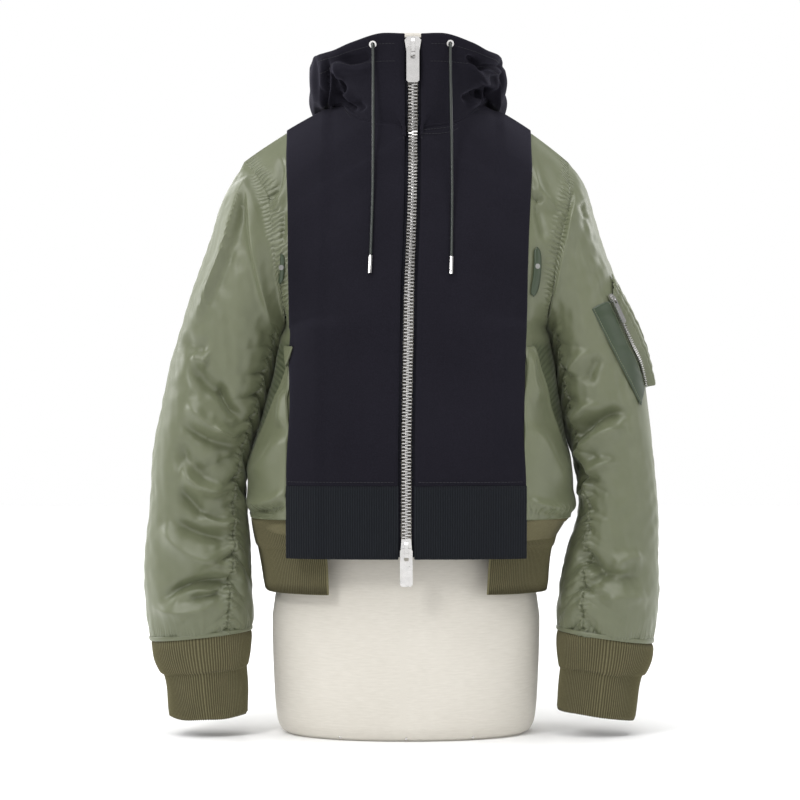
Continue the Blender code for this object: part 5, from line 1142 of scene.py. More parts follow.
def sleeve_surface(side, v, turn):
    """The sleeve's outer side with its folds and gathers."""
    points = on_sleeve(side, v, turn)
    normals = tube_normals(points)
    front = ease(-normals[..., 1], -0.10, 0.30)
    push = front * creased(points, SLEEVE_CREASES[side])
    push += 0.7 * (1 - front) * creased(points, mirrored(SLEEVE_CREASES[-side][3:], 0.012))
    push += dented(points, SLEEVE_DENTS, side)
    push += dented(points, SLEEVE_SMALL_DENTS, side)
    push *= ease(v, 0.0, 0.5) * ease(-v, -LAST_SLEEVE_ROW, -LAST_SLEEVE_ROW + 0.25)
    if side > 0:
        push *= 1 - pocket_calm(v, turn)
    girth = np.linalg.norm(np.roll(points, -1, axis=1) - points, axis=-1).sum(axis=1, keepdims=True)
    seam = smooth([row.row for row in INSEAM], [row[1:] for row in INSEAM], v)[..., 0]
    away = (turn - seam) * girth
    along = length_down(points)
    fade = ease(v, 0.9, 2.0)
    for row in INSEAM_GATHERS:
        push += fade * gathers(along, away, row.pitch, row.reach, row.height, row.seed + side, row.slant)
    push += fade * seam_groove(away, width=0.0013, depth=0.0022)
    # Gathers along the armhole and above the cuff.
    ring = (turn % 1.0) * girth[0, 0]
    down = along + 0 * turn
    strength = ease(np.minimum(turn % 1.0, 1 - turn % 1.0), 0.03, 0.10)
    push += strength * gathers(ring, down, pitch=PUCKER, reach=0.0050, height=0.0006, seed=31 + side)
    up = along[-1] - along + 0 * turn
    push += gathers(ring, up, pitch=0.0105, reach=0.016, height=0.0013, seed=41 + side)
    by_armhole = 0.8 * strength * np.exp(-((down / 0.0050) ** 4))
    by_inseam = fade * np.exp(-((away / 0.0062) ** 2)) + 0 * ring
    by_cuff = 0.5 * np.exp(-((up / 0.0060) ** 2))
    nearest = np.where(by_inseam > np.maximum(by_armhole, by_cuff), along + 0 * turn, ring)
    marks = {"along": nearest, "near": np.maximum(np.maximum(by_armhole, by_inseam), by_cuff)}
    return points + push[..., None] * normals, normals, marks


SLEEVE_DOWN, SLEEVE_ROUND = 380, 184


def build_sleeves():
    for side, word in SIDES.items():
        v = np.linspace(0.0, LAST_SLEEVE_ROW, SLEEVE_DOWN)[:, None]
        even = np.arange(SLEEVE_ROUND) / SLEEVE_ROUND
        turn = (even - 0.085 * np.sin(2 * math.pi * (even - 0.385)))[None, :]
        points, normals, marks = sleeve_surface(side, v, turn)
        out = np.sign(normals[SLEEVE_DOWN // 2, SLEEVE_ROUND // 2, 0]) or 1.0
        cloth_piece(f"sleeve_cloth_{word}", points, NYLON, (out, 0.0, 0.0), SAGE, "sage_nylon",
                    (f"sleeve_{word}",), closed=True, marks=marks)


# ---------------------------------------------------------------- knitted cuffs and hem
RIB_PITCH = 0.0027
RIB_HEIGHT = 0.00045
CUFF_RIBS = 116
BAND_RIBS = 46
PER_RIB = 6  # columns of the grid in each rib
RIB_INNER_STEP = 6


def rib_wave(count, columns):
    wave = np.cos(2 * math.pi * count * np.arange(columns) / columns)
    # The second value marks the ribs; the grooves between them get a painted shade.
    return wave, 0.5 + 0.5 * np.tanh(2.2 * wave)


def open_rib_wave(count):
    """The same for ribs that don't close to a ring: the last column is like the first."""
    wave, mark = rib_wave(count, count * PER_RIB)
    return np.append(wave, wave[0]), np.append(mark, mark[0])


def build_cuffs():
    down = 32
    for side, word in SIDES.items():
        columns = CUFF_RIBS * PER_RIB
        turn = np.arange(columns) / columns
        t = np.linspace(0.0, 5.0, down)
        rows = CUFF_ROWS[side]
        row = Cuff(*np.moveaxis(smooth(range(len(rows)), rows, t), -1, 0)[..., None])
        points = ring_point(row, side, turn[None, :], CUFF_SQUARE)
        normals = tube_normals(points)
        wave, mark = rib_wave(CUFF_RIBS, columns)
        soft = dented(points, CUFF_DENTS, side)
        edges = ease(t, 0.0, 0.25) * ease(-t, -5.0, -4.85)
        push = RIB_HEIGHT * wave[None] * edges[:, None] + soft * edges[:, None]
        points = points + push[..., None] * normals
        middle = normals[down // 2, columns // 2]
        cloth_piece(f"cuff_knit_{word}", points, RIB, tuple(middle), OLIVE_RIB, "olive_rib",
                    (f"cuff_{word}",), closed=True, step=RIB_INNER_STEP, marks={"mark": mark[None]})


def hem_tops(count):
    """The nylon's lower edge from the left front round the back, evenly spaced."""
    parts = []
    s = np.linspace(0.0, 1.0, 40)
    start = across_at(FRONT, -1, FRONT_HEM_ROW, GREEN_EDGE[-1])
    parts.append(on_body(FRONT, -1, FRONT_HEM_ROW, start + (1 - start) * s))
    parts.append(on_body(BACK, -1, BACK_HEM_ROW, np.linspace(0.98, 0.0, 60)))
    parts.append(on_body(BACK, 1, BACK_HEM_ROW, np.linspace(0.02, 0.98, 60)))
    start = across_at(FRONT, 1, FRONT_HEM_ROW, GREEN_EDGE[1])
    parts.append(on_body(FRONT, 1, FRONT_HEM_ROW, start + (1 - start) * s[::-1]))
    line = np.vstack(parts)
    lengths = lengths_along(line)
    even = np.linspace(0.0, lengths[-1], count)
    return read_line(line, lengths, even), lengths[-1]


def build_hem_rib():
    _, length = hem_tops(10)
    ribs = int(length / RIB_PITCH)
    columns = ribs * PER_RIB + 1
    tops, _ = hem_tops(columns)
    angle = np.arctan2(tops[:, 0], -tops[:, 1])
    stops = [tops - np.array([0.0, 0.0, SEAM])]
    stops += [girth_point(HEM_RIB, row.height, angle, RIB_SQUARE) for row in HEM_RIB]
    stops = np.stack(stops)
    down = 17
    t = np.linspace(0.0, len(stops) - 1.0, down)
    points = smooth(range(len(stops)), stops.reshape(len(stops), -1), t).reshape(down, columns, 3)
    normals = facing_out(points, False, (0.0, 1.0, 0.0))
    wave, mark = open_rib_wave(ribs)
    soft = dented(points, HEM_DENTS)
    points = points + (RIB_HEIGHT * wave[None] + soft)[..., None] * normals
    cloth_piece("hem_knit", points, RIB, (0.0, 1.0, 0.0), OLIVE_RIB, "olive_rib", ("hem_rib",),
                step=RIB_INNER_STEP, marks={"mark": mark[None]})


# ---------------------------------------------------------------- nylon body
FRONT_CREASES = {
    -1: (
        Crease(-0.1420, 0.6560, -0.1600, 0.6100, -0.006, 0.0045, 1.0, -0.0040),
        Crease(-0.1340, 0.6420, -0.1500, 0.6000, -0.004, 0.0060, 1.0, 0.0035),
        Crease(-0.1390, 0.5950, -0.1420, 0.5600, 0.000, 0.0035, 1.0, -0.0030),
        Crease(-0.1360, 0.3900, -0.1420, 0.3500, 0.002, 0.0060, 1.0, 0.0040),
        Crease(-0.1370, 0.3350, -0.1750, 0.2900, 0.003, 0.0080, 1.0, 0.0040),
        Crease(-0.1380, 0.2720, -0.1800, 0.2600, -0.004, 0.0050, 1.0, 0.0040),
        Crease(-0.1380, 0.2620, -0.1780, 0.2500, -0.003, 0.0040, 1.0, -0.0035),
    ),
    1: (
        Crease(0.1420, 0.6500, 0.1700, 0.6000, 0.005, 0.0055, 1.0, 0.0040),
        Crease(0.1400, 0.6200, 0.1560, 0.6080, 0.001, 0.0030, 1.0, -0.0040),
        Crease(0.1500, 0.6050, 0.1600, 0.5650, 0.000, 0.0050, 1.0, -0.0030),
        Crease(0.1420, 0.4300, 0.1500, 0.3800, 0.003, 0.0060, 1.0, 0.0045),
        Crease(0.1400, 0.3500, 0.1800, 0.2800, -0.003, 0.0090, 1.0, 0.0050),
        Crease(0.1420, 0.2640, 0.1850, 0.2560, 0.003, 0.0045, 1.0, 0.0040),
    ),
}


# How far the nylon swells to the side under the arm, until it meets the sleeve.
SIDE_SWELL = {-1: 0.0078, 1: 0.0064}


def side_swell(points, side, s):
    height = points[..., 2]
    tall = ease(height, 0.262, 0.320) * ease(-height, -0.470, -0.448)
    return SIDE_SWELL[side] * tall * ease(s, 0.90, 0.995)


HEM_LINE = 0.2575  # height of the line that the nylon is gathered along above its edge
ARMHOLE_PUCKERS, HEM_PUCKERS = 0.0125, 0.0050  # how far the puckers reach


def hem_gathers(points, seed):
    hem = np.maximum(points[..., 2] - HEM_LINE, 0.0)
    return gathers(points[..., 0], hem, pitch=0.0125, reach=0.014, height=0.0012, seed=seed)


# How far round the body the slash pocket's doubled cloth reaches, by height.
FlapEdge = namedtuple("FlapEdge", "height reach")
FLAP_EDGE = {
    -1: (
        FlapEdge(0.2475, 0.986),
        FlapEdge(0.300, 0.985),
        FlapEdge(0.360, 0.965),
        FlapEdge(0.400, 0.935),
        FlapEdge(0.440, 0.890),
    ),
    1: (
        FlapEdge(0.2475, 0.986),
        FlapEdge(0.300, 0.985),
        FlapEdge(0.360, 0.945),
        FlapEdge(0.410, 0.905),
        FlapEdge(0.440, 0.880),
    ),
}


def beside_armhole(rows, side, v, points, underarm, seed):
    """(push of the gathers beside an armhole, marks of the puckers there and above the hem)."""
    edge = on_body(rows, side, v, 1.0)
    away = np.linalg.norm(points - edge, axis=-1)
    along = length_down(np.broadcast_to(edge, points.shape))
    above = ease(-v, -underarm - 0.4, -underarm)
    beside = above * np.exp(-((away / ARMHOLE_PUCKERS) ** 4))
    by_hem = 0.6 * np.exp(-(((points[..., 2] - HEM_LINE) / HEM_PUCKERS) ** 2))
    nearest = np.where(by_hem > beside, np.abs(points[..., 0]) + 0 * away, along)
    push = above * gathers(along, away, pitch=PUCKER, reach=0.0120, height=0.0010, seed=seed)
    return push, {"along": nearest, "near": np.maximum(beside, by_hem)}


def front_surface(side, v, s, height=0.0, swell=1.0):
    points = raised(FRONT, side, v, s, height + 0 * s)
    normals = body_normal(FRONT, side, v, s)
    push = creased(points, FRONT_CREASES[side])
    gathered, marks = beside_armhole(FRONT, side, v, points, FRONT_UNDERARM, 91 + side)
    push += gathered
    push += dented(points, FRONT_DENTS, side)
    push *= 0.25 + 0.75 * ease(v, 0.0, 0.4) * ease(-v, -FRONT_HEM_ROW, -FRONT_HEM_ROW + 0.3)
    push += hem_gathers(points, 97 + side)
    jersey = by_height(JERSEY_EDGE, points[..., 2])[..., 0]
    push *= ease(np.abs(points[..., 0]), jersey - 0.001, jersey + 0.009)
    push += swell * side_swell(points, side, s)
    return points + push[..., None] * normals, marks


# Heights at which the painted shade inside a slash pocket's mouth fades out, and how sharp its edge is.
MOUTH_TOP = (0.450, 0.435)
MOUTH_LOW = (0.270, 0.285)
MOUTH_EDGE = 0.004
FLAP_LIP = 0.0020
FLAP_START = 0.004
FLAP_SWELL = 0.6


def build_nylon_fronts():
    down, across = 190, 70
    for side, word in SIDES.items():
        v = np.linspace(0.0, FRONT_HEM_ROW, down)[:, None]
        start = across_at(FRONT, side, v, GREEN_EDGE[side])
        even = np.linspace(0.0, 1.0, across)[None]
        s = start + (1 - start) * (1 - (1 - even) ** 1.5)
        points, marks = front_surface(side, v, s)
        heights = on_body(FRONT, side, v, 1.0)[..., 2]
        reach = by_height(FLAP_EDGE[side], heights)[..., 0]
        below = ease(-heights, -MOUTH_TOP[0], -MOUTH_TOP[1])
        over = ease(heights, *MOUTH_LOW)
        # Painted shade: where the nylon inside a pocket's mouth is painted darker.
        marks["pocket_mouth_shade"] = ease(s, reach - MOUTH_EDGE, reach) * below * over
        points[:, -1, 1] -= SEAM / 2
        points[0, :, 1] -= SEAM / 2
        cloth_piece(f"front_cloth_{word}", points, NYLON, (0.0, -1.0, 0.0), SAGE_FRONT, "sage_nylon",
                    (f"front_panel_{word}",), marks=marks)
        rows = np.linspace(POCKET_TOP_ROW, FRONT_HEM_ROW, 120)[:, None]
        heights = on_body(FRONT, side, rows, 1.0)[..., 2]
        reach = by_height(FLAP_EDGE[side], heights)[..., 0]
        first = jersey_edge_at(side, rows) + FLAP_START
        s = first + (reach - first) * np.linspace(0.0, 1.0, 50)[None]
        points, marks = front_surface(side, rows, s, NYLON + FLAP_GAP, swell=FLAP_SWELL)
        lip = ease(s, reach - 0.03, reach)
        points[..., 1] -= FLAP_LIP * lip
        cloth_piece(f"pocket_cloth_{word}", points, NYLON, (0.0, -1.0, 0.0), SAGE, "sage_nylon",
                    (f"pocket_flap_{word}",), marks=marks)


def back_creases():
    """Soft folds of the back, drawn as in a picture from the front."""
    return (
        Crease(-0.1500, 0.5600, -0.0900, 0.4600, 0.010, 0.0110, 1.0, 0.0050),
        Crease(-0.1350, 0.5000, -0.0700, 0.3900, 0.012, 0.0100, 1.0, -0.0050),
        Crease(0.1550, 0.5700, 0.0850, 0.4700, -0.010, 0.0110, 1.0, 0.0050),
        Crease(0.1400, 0.4900, 0.0800, 0.3700, -0.010, 0.0100, 1.0, -0.0050),
        Crease(-0.1450, 0.3300, -0.0200, 0.3050, 0.008, 0.0120, 1.0, 0.0045),
        Crease(0.1500, 0.3200, 0.0300, 0.2950, -0.008, 0.0110, 1.0, 0.0045),
        Crease(-0.0500, 0.4300, 0.0100, 0.3300, 0.004, 0.0130, 1.0, 0.0035),
        Crease(-0.1600, 0.2800, -0.0700, 0.2700, 0.003, 0.0060, 1.0, 0.0035),
        Crease(0.1600, 0.2790, 0.0600, 0.2680, -0.003, 0.0060, 1.0, 0.0035),
    )


def build_back():
    """One grid across both halves. Above the neck the middle columns run round the neck."""
    down, half = 190, 80
    v = np.linspace(0.0, BACK_HEM_ROW, down)[:, None]
    shares = np.linspace(0.0, 1.0, half)
    pieces = []
    half_marks = []
    for side in (-1, 1):
        s = np.broadcast_to(shares[None], (down, half))
        points = on_body(BACK, side, v, s)
        normals = facing_out(points, False, (0.0, 1.0, 0.0))
        push = creased(points, back_creases())
        push += dented(points, BACK_DENTS)
        gathered, marks = beside_armhole(BACK, side, v, points, BACK_UNDERARM, 107 + side)
        push += gathered
        push += hem_gathers(points, 109)
        middle = ease(s, 0.0, 0.08)
        push *= middle + (1 - middle) * ease(v, BACK_NECK, BACK_NECK + 0.5)
        push *= 0.2 + 0.8 * ease(v, 0.0, 0.4)
        push += side_swell(points, side, s)
        half_marks.append(marks)
        points = points + push[..., None] * normals
        points[:, -1, 1] += SEAM / 2
        points[0, :, 1] += SEAM / 2
        pieces.append(points)
    left, right = pieces
    join = int(round(BACK_NECK / BACK_HEM_ROW * (down - 1)))
    middle = (left[join:, 0] + right[join:, 0]) / 2
    left[join:, 0] = middle
    right[join:, 0] = middle
    body = np.concatenate([left[join:, ::-1], right[join:, 1:]], axis=1)
    marks = {}
    for word in half_marks[0]:
        one, other = (values[word] for values in half_marks)
        marks[word] = np.concatenate([one[join:, ::-1], other[join:, 1:]], axis=1)
    cloth_piece("back_cloth", body, NYLON, (0.0, 1.0, 0.0), SAGE, "sage_nylon", ("back_panel",),
                marks=marks)
    for word, points, values in zip(("left", "right"), (left, right), half_marks):
        marks = {name: value[:join + 1] for name, value in values.items()}
        cloth_piece(f"shoulder_cloth_{word}", points[:join + 1], NYLON, (0.0, 0.3, 1.0), SAGE,
                    "sage_nylon", (), marks=marks)


# ---------------------------------------------------------------- jersey fronts
def jersey_height(side, x):
    return (JERSEY + LAID) * ease(x, GREEN_EDGE[side] - LIFT_START, GREEN_EDGE[side] - 0.003)


def jersey_surface(side, v, across):
    zip_side = across_at(FRONT, side, v, ZIP_EDGE)
    edge = jersey_edge_at(side, v)
    s = zip_side + (edge - zip_side) * across
    x = np.abs(on_body(FRONT, side, v, s)[..., 0])
    return raised(FRONT, side, v, s, jersey_height(side, x)), x


def build_jersey_fronts():
    down, wide, band_down = 200, 56, 40
    for side, word in SIDES.items():
        v = np.linspace(0.0, FRONT_BAND, down)[:, None]
        across = np.linspace(0.0, 1.0, wide)[None]
        points, _ = jersey_surface(side, v, across)
        normals = facing_out(points, False, (0.0, -1.0, 0.0))
        push = dented(points, JERSEY_DENTS, side) * ease(v, 0.0, 1.0)
        points = points + push[..., None] * normals
        points[0, :, 1] -= SEAM / 2
        cloth_piece(f"jersey_cloth_{word}", points, JERSEY, (0.0, -1.0, 0.0), NAVY, "navy_jersey",
                    (f"jersey_front_{word}",))
        v = np.linspace(FRONT_BAND + 0.02, FRONT_LAST_ROW, band_down)[:, None]
        across = np.linspace(0.0, 1.0, BAND_RIBS * PER_RIB + 1)[None]
        points, _ = jersey_surface(side, v, across)
        normals = facing_out(points, False, (0.0, -1.0, 0.0))
        wave, mark = open_rib_wave(BAND_RIBS)
        points = points + (0.6 * RIB_HEIGHT * wave[None] + 0 * v)[..., None] * normals
        cloth_piece(f"band_knit_{word}", points, JERSEY, (0.0, -1.0, 0.0), NAVY_RIB, "navy_rib",
                    (f"front_band_{word}",), step=RIB_INNER_STEP, marks={"mark": mark[None]})


# ---------------------------------------------------------------- hood
HOOD_CREASES = {
    -1: (
        Crease(-0.0800, 0.7650, -0.0720, 0.7370, 0.000, 0.0026, 1.0, 0.0030),
        Crease(-0.0740, 0.7370, -0.0575, 0.7200, -0.001, 0.0030, 1.0, 0.0052),
        Crease(-0.0780, 0.7350, -0.0600, 0.7110, 0.000, 0.0042, 1.0, -0.0060),
        Crease(-0.0840, 0.7640, -0.0868, 0.7120, 0.000, 0.0022, 1.0, 0.0034),
        Crease(-0.0895, 0.7700, -0.0900, 0.7100, 0.000, 0.0022, 1.0, -0.0030),
        Crease(-0.0960, 0.7700, -0.0960, 0.7120, 0.000, 0.0040, 1.0, 0.0024),
        Crease(-0.0730, 0.7700, -0.0400, 0.7760, 0.002, 0.0055, 1.0, -0.0042),
        Crease(-0.0800, 0.7640, -0.0420, 0.7610, 0.002, 0.0045, 1.0, 0.0028),
        Crease(-0.0560, 0.7220, -0.0480, 0.7140, 0.000, 0.0040, 1.0, -0.0026),
    ),
    1: (
        Crease(0.0700, 0.7740, 0.0900, 0.7560, 0.000, 0.0040, 1.0, -0.0054),
        Crease(0.0690, 0.7680, 0.1020, 0.7390, 0.001, 0.0032, 1.0, 0.0052),
        Crease(0.0830, 0.7570, 0.1100, 0.7570, 0.000, 0.0028, 1.0, 0.0032),
        Crease(0.0860, 0.7640, 0.1110, 0.7630, 0.000, 0.0026, 1.0, -0.0032),
        Crease(0.0930, 0.7400, 0.0940, 0.7120, 0.000, 0.0040, 1.0, -0.0062),
        Crease(0.0660, 0.7260, 0.0860, 0.7340, 0.000, 0.0040, 1.0, -0.0058),
        Crease(0.0720, 0.7180, 0.0900, 0.7280, 0.000, 0.0034, 1.0, 0.0040),
        Crease(0.1050, 0.7480, 0.1060, 0.7100, 0.000, 0.0024, 1.0, 0.0034),
        Crease(0.1100, 0.7640, 0.1102, 0.7100, 0.000, 0.0020, 1.0, -0.0028),
        Crease(0.1160, 0.7680, 0.1160, 0.7120, 0.000, 0.0036, 1.0, 0.0024),
    ),
}
# Soft rolls of the hood where it lies down the back, drawn as if seen through from the front.
HOOD_BACK = (
    Crease(-0.0900, 0.7300, 0.0800, 0.7220, 0.008, 0.0100, 1.0, 0.0050),
    Crease(-0.0800, 0.7000, 0.0900, 0.6950, -0.010, 0.0080, 1.0, -0.0045),
    Crease(-0.1000, 0.6700, 0.0500, 0.6560, 0.008, 0.0100, 1.0, 0.0045),
    Crease(-0.0200, 0.6450, 0.1000, 0.6600, 0.006, 0.0080, 1.0, -0.0035),
    Crease(-0.0900, 0.7600, -0.0500, 0.6900, 0.006, 0.0070, 1.0, 0.0040),
    Crease(0.0900, 0.7600, 0.0600, 0.6900, -0.006, 0.0070, 1.0, 0.0040),
)


def hood_surface(side, around, up):
    points = on_hood(side, around, up)
    normals = facing_out(points, False, (side * 1.0, 0.0, 0.0))
    front = ease(-normals[..., 1], -0.35, 0.0)
    push = front * creased(points, HOOD_CREASES[side]) + (1 - front) * creased(points, HOOD_BACK)
    push += dented(points, HOOD_DENTS, side) * ease(around, 0.15, 0.4)
    push *= ease(up, 0.0, 0.10) * ease(-up, -1.0, -0.93) * ease(around, HOOD_START, 0.12)
    push *= ease(-around, -1.0, -0.97)
    points = points + push[..., None] * normals
    return points, normals


def build_hood():
    across, down = 210, 80
    for side, word in SIDES.items():
        even = np.linspace(0.0, 1.0, across)
        even = even + 0.10 * np.sin(2 * math.pi * even) * (1 - even)
        around = (HOOD_START + (1 - HOOD_START) * even)[None]
        up = np.linspace(0.0, 1.0, down)[:, None]
        points, _ = hood_surface(side, around, up)
        points[:, 0, 0] = side * ZIP_EDGE
        points[:, -1, 0] = side * SEAM / 2
        out = (side * 1.0, 0.0, 0.0)
        cloth_piece(f"hood_cloth_{word}", points, JERSEY, out, NAVY, "navy_jersey", (f"hood_{word}",))


# ---------------------------------------------------------------- dress form
def build_form():
    down, round_it = 110, 100
    heights = np.interp(np.linspace(0, len(FORM) - 1, down), range(len(FORM)), [row.height for row in FORM])
    angle = 2 * math.pi * np.arange(round_it) / round_it
    at_height, at_angle = heights[:, None] + 0 * angle, angle[None] + 0 * heights[:, None]
    points = girth_point(FORM, at_height, at_angle, FORM_SQUARE)
    points = placed(points, worn=False)
    indices = np.arange(points.shape[0] * round_it).reshape(-1, round_it)
    quads = quads_of(indices, True)
    count = indices.size
    middles = np.array([[AXIS_X, AXIS_Y, heights[0]], [AXIS_X, AXIS_Y, heights[-1]]])
    caps = []
    for i in range(round_it):
        j = (i + 1) % round_it
        caps.append((indices[0][j], indices[0][i], count))
        caps.append((indices[-1][i], indices[-1][j], count + 1))
    uvs = np.stack(np.meshgrid(np.linspace(0, 0.9, round_it), heights), -1).reshape(-1, 2)
    uvs = np.vstack([uvs, [[0.0, 0.0], [0.0, 0.8]]])
    mesh = make_mesh("form", np.vstack([points.reshape(-1, 3), middles]), [quads, np.array(caps)], uvs)
    add_piece("form_linen", mesh, LINEN, stands_for=("dress_form",))


NAILS = (-0.095, 0.0, 0.096)
NAIL_HEIGHT = 0.0040
NAIL_RADIUS = 0.0016
NAIL_OUT = 0.0062
NAIL_SIDES = 12
NAIL_RINGS = np.array([0.0, 0.5, 0.9, 1.0])
NAIL_BULGE = np.array([0.0010, 0.0009, 0.0004, -0.0006])


def build_nails():
    """Small flat nail heads low on the form's front."""
    parts = []
    for across in NAILS:
        angle = math.asin(across / 0.15)
        here = girth_point(FORM, np.array(0.0), np.array(angle), FORM_SQUARE)
        here[2] = NAIL_HEIGHT
        turns = 2 * math.pi * np.arange(NAIL_SIDES) / NAIL_SIDES
        ring = NAIL_RADIUS * np.maximum(NAIL_RINGS, 0.02)[:, None, None] * np.stack(
            [np.cos(turns), 0 * turns, np.sin(turns)], -1)[None]
        out = unit(here * np.array([1.0, 1.0, 0.0]))
        points = here + ring + (NAIL_OUT + NAIL_BULGE)[:, None, None] * out
        indices = np.arange(len(NAIL_RINGS) * NAIL_SIDES).reshape(-1, NAIL_SIDES)
        caps = np.array([(indices[0][0], indices[0][i], indices[0][i + 1])
                         for i in range(1, NAIL_SIDES - 1)])
        parts.append((placed(points.reshape(-1, 3), worn=False), [quads_of(indices, True)[:, ::-1], caps]))
    joined_piece("form_nails", parts, NICKEL)


# ---------------------------------------------------------------- zip
def middle_line(t):
    t = np.asarray(t, float)
    up = np.clip(1 - t, 0.0, 1.0)
    hood = (on_hood(-1, HOOD_START, up) + on_hood(1, HOOD_START, up)) / 2
    body = on_body(FRONT, 1, np.clip(FRONT_NECK + t - 1, 0.0, FRONT_LAST_ROW), 0.0)
    point = np.where((t < 1)[..., None], hood, body)
    point[..., 0] = 0.0
    return point


LAST_T = 1 + FRONT_LAST_ROW - FRONT_NECK


def middle_at(height):
    """(points, directions up, directions out) of the front's middle line at some heights."""
    t = np.linspace(0.0, LAST_T, 4000)
    line = middle_line(t)
    order = np.argsort(line[:, 2])
    found = np.interp(height, line[order, 2], t[order])
    step = 0.03
    along = unit(middle_line(np.maximum(found - step, 0.0)) - middle_line(np.minimum(found + step, LAST_T)))
    out = np.stack([0 * found, -along[..., 2], along[..., 1]], -1)
    return middle_line(found), along, out


TOOTH_PITCH = 0.0038
TOOTH_SINK = 0.0016
# Corners of a tooth's section, as shares of its half height and half depth.
TOOTH_CORNERS = ((1, -0.6), (1, 0.55), (0.55, 1), (-0.55, 1), (-1, 0.55), (-1, -0.6), (-0.6, -1), (0.6, -1))


def tooth_shape():
    """One metal tooth, pointing along +X across the zip: rounded bar with a knob at its end."""
    stations = (
        (-0.0049, 0.00095, 0.0015),
        (-0.0030, 0.00105, 0.0016),
        (-0.0006, 0.00095, 0.0015),
        (0.0004, 0.00080, 0.0014),
        (0.0013, 0.00062, 0.0012),
        (0.0017, 0.00030, 0.0008),
    )
    corners = []
    for x, half_up, half_out in stations:
        for up, out in TOOTH_CORNERS:
            corners.append((x, up * half_up, out * half_out))
    points = np.array(corners)
    indices = np.arange(len(points)).reshape(len(stations), 8)
    quads = quads_of(indices, True)
    return points, [quads, end_caps(indices[0], indices[-1])]


def build_zip():
    shape, faces = tooth_shape()
    low, high = LOW_HINGE_Z + 0.006, TOP_HINGE_Z - 0.004
    parts = []
    heights_all = np.arange(low, high, TOOTH_PITCH / 2)
    points, along, out = middle_at(heights_all)
    for i in range(len(heights_all)):
        side = 1 if i % 2 else -1
        across = np.array([-side, 0.0, 0.0])
        base = points[i] - TOOTH_SINK * out[i]
        local = base + shape[:, :1] * across + shape[:, 1:2] * along[i] + shape[:, 2:] * out[i]
        block = [face[:, ::-1] if side < 0 else face for face in faces]
        parts.append((placed(local), block))
    made, all_faces = join_meshes(parts)
    add_piece("zip_teeth", make_mesh("teeth", made, all_faces), NICKEL, stands_for=("zip_chain",))


# ---------------------------------------------------------------- bindings
def binding(name, line, normals, half, material, closed, flat=0.42):
    points, faces = tube_mesh(line, half, sides=10, flat=flat, normal=normals, closed=closed)
    across = np.linspace(0.0, 2 * math.pi * half, 10)
    along = np.arange(len(line)) * half
    uvs = np.stack(np.meshgrid(across, along), -1).reshape(-1, 2)
    return add_piece(name, make_mesh(name, points, faces, uvs), material)


BINDING_ROUND = 240
CUFF_BINDING_ROW = 9.92
CUFF_BINDING = 0.0025
HEM_BINDING = 0.0026
HEM_BINDING_UP = 0.20  # rows above the nylon's edge
NECK_SEAM = 0.0019
CUFF_BINDING_OUT = 0.0007
HEM_BINDING_OUT = 0.0006
NECK_SEAM_IN = 0.0008


def build_bindings():
    """The nylon's narrow rolled edges above the cuffs and the hem rib, and the thick neck seam."""
    for side, word in SIDES.items():
        turn = np.arange(BINDING_ROUND) / BINDING_ROUND
        line = on_sleeve(side, CUFF_BINDING_ROW, turn)
        out = unit(line - line.mean(axis=0))
        line = placed(line + CUFF_BINDING_OUT * out)
        binding(f"cuff_binding_{word}", line, out, CUFF_BINDING, SAGE, True)
    v_front, v_back = FRONT_HEM_ROW - HEM_BINDING_UP, BACK_HEM_ROW - HEM_BINDING_UP
    start = {side: across_at(FRONT, side, v_front, GREEN_EDGE[side]) for side in (-1, 1)}
    up = np.linspace(0.0, 1.0, 60)
    parts = [
        on_body(FRONT, -1, v_front, start[-1] + (1 - start[-1]) * up),
        on_body(BACK, -1, v_back, np.linspace(0.985, 0.0, 90)),
        on_body(BACK, 1, v_back, np.linspace(0.01, 0.985, 90)),
        on_body(FRONT, 1, v_front, start[1] + (1 - start[1]) * up[::-1]),
    ]
    line = np.vstack(parts)
    out = unit(line * np.array([1.0, 1.0, 0.0]))
    line = placed(line + HEM_BINDING_OUT * out)
    binding("hem_binding", line, out, HEM_BINDING, SAGE, False)
    for side, word in SIDES.items():
        line = neck_point(side, np.linspace(HOOD_START, 0.99, 200))
        out = unit(line * np.array([1.0, 1.0, 0.0]))
        line = placed(line - NECK_SEAM_IN * out)
        binding(f"neck_seam_{word}", line, out, NECK_SEAM, NAVY, False, 1.0)


# ---------------------------------------------------------------- sleeve pocket and tabs
Spot = namedtuple("Spot", "across height")
POCKET_ZIP = (
    Spot(0.2290, 0.4916),
    Spot(0.2370, 0.4740),
    Spot(0.2442, 0.4566),
    Spot(0.2517, 0.4392),
    Spot(0.2593, 0.4243),
    Spot(0.2637, 0.4113),
    Spot(0.2680, 0.3933),
)
PATCH_LEFT = (Spot(0.2079, 0.4807), Spot(0.2350, 0.4271), Spot(0.2621, 0.3736))
POCKET_ZIP_HALF = 0.0037
SLEEVE_GIRTH = 0.42
POCKET_GAP = 0.0011
POCKET_WALL = 0.0018
PEN_REACH = 0.085
PEN_LIFT = 0.0095
POCKET_TOOTH_PITCH = 0.0026
POCKET_TOOTH_SHARE = 0.60  # of the main zip's tooth


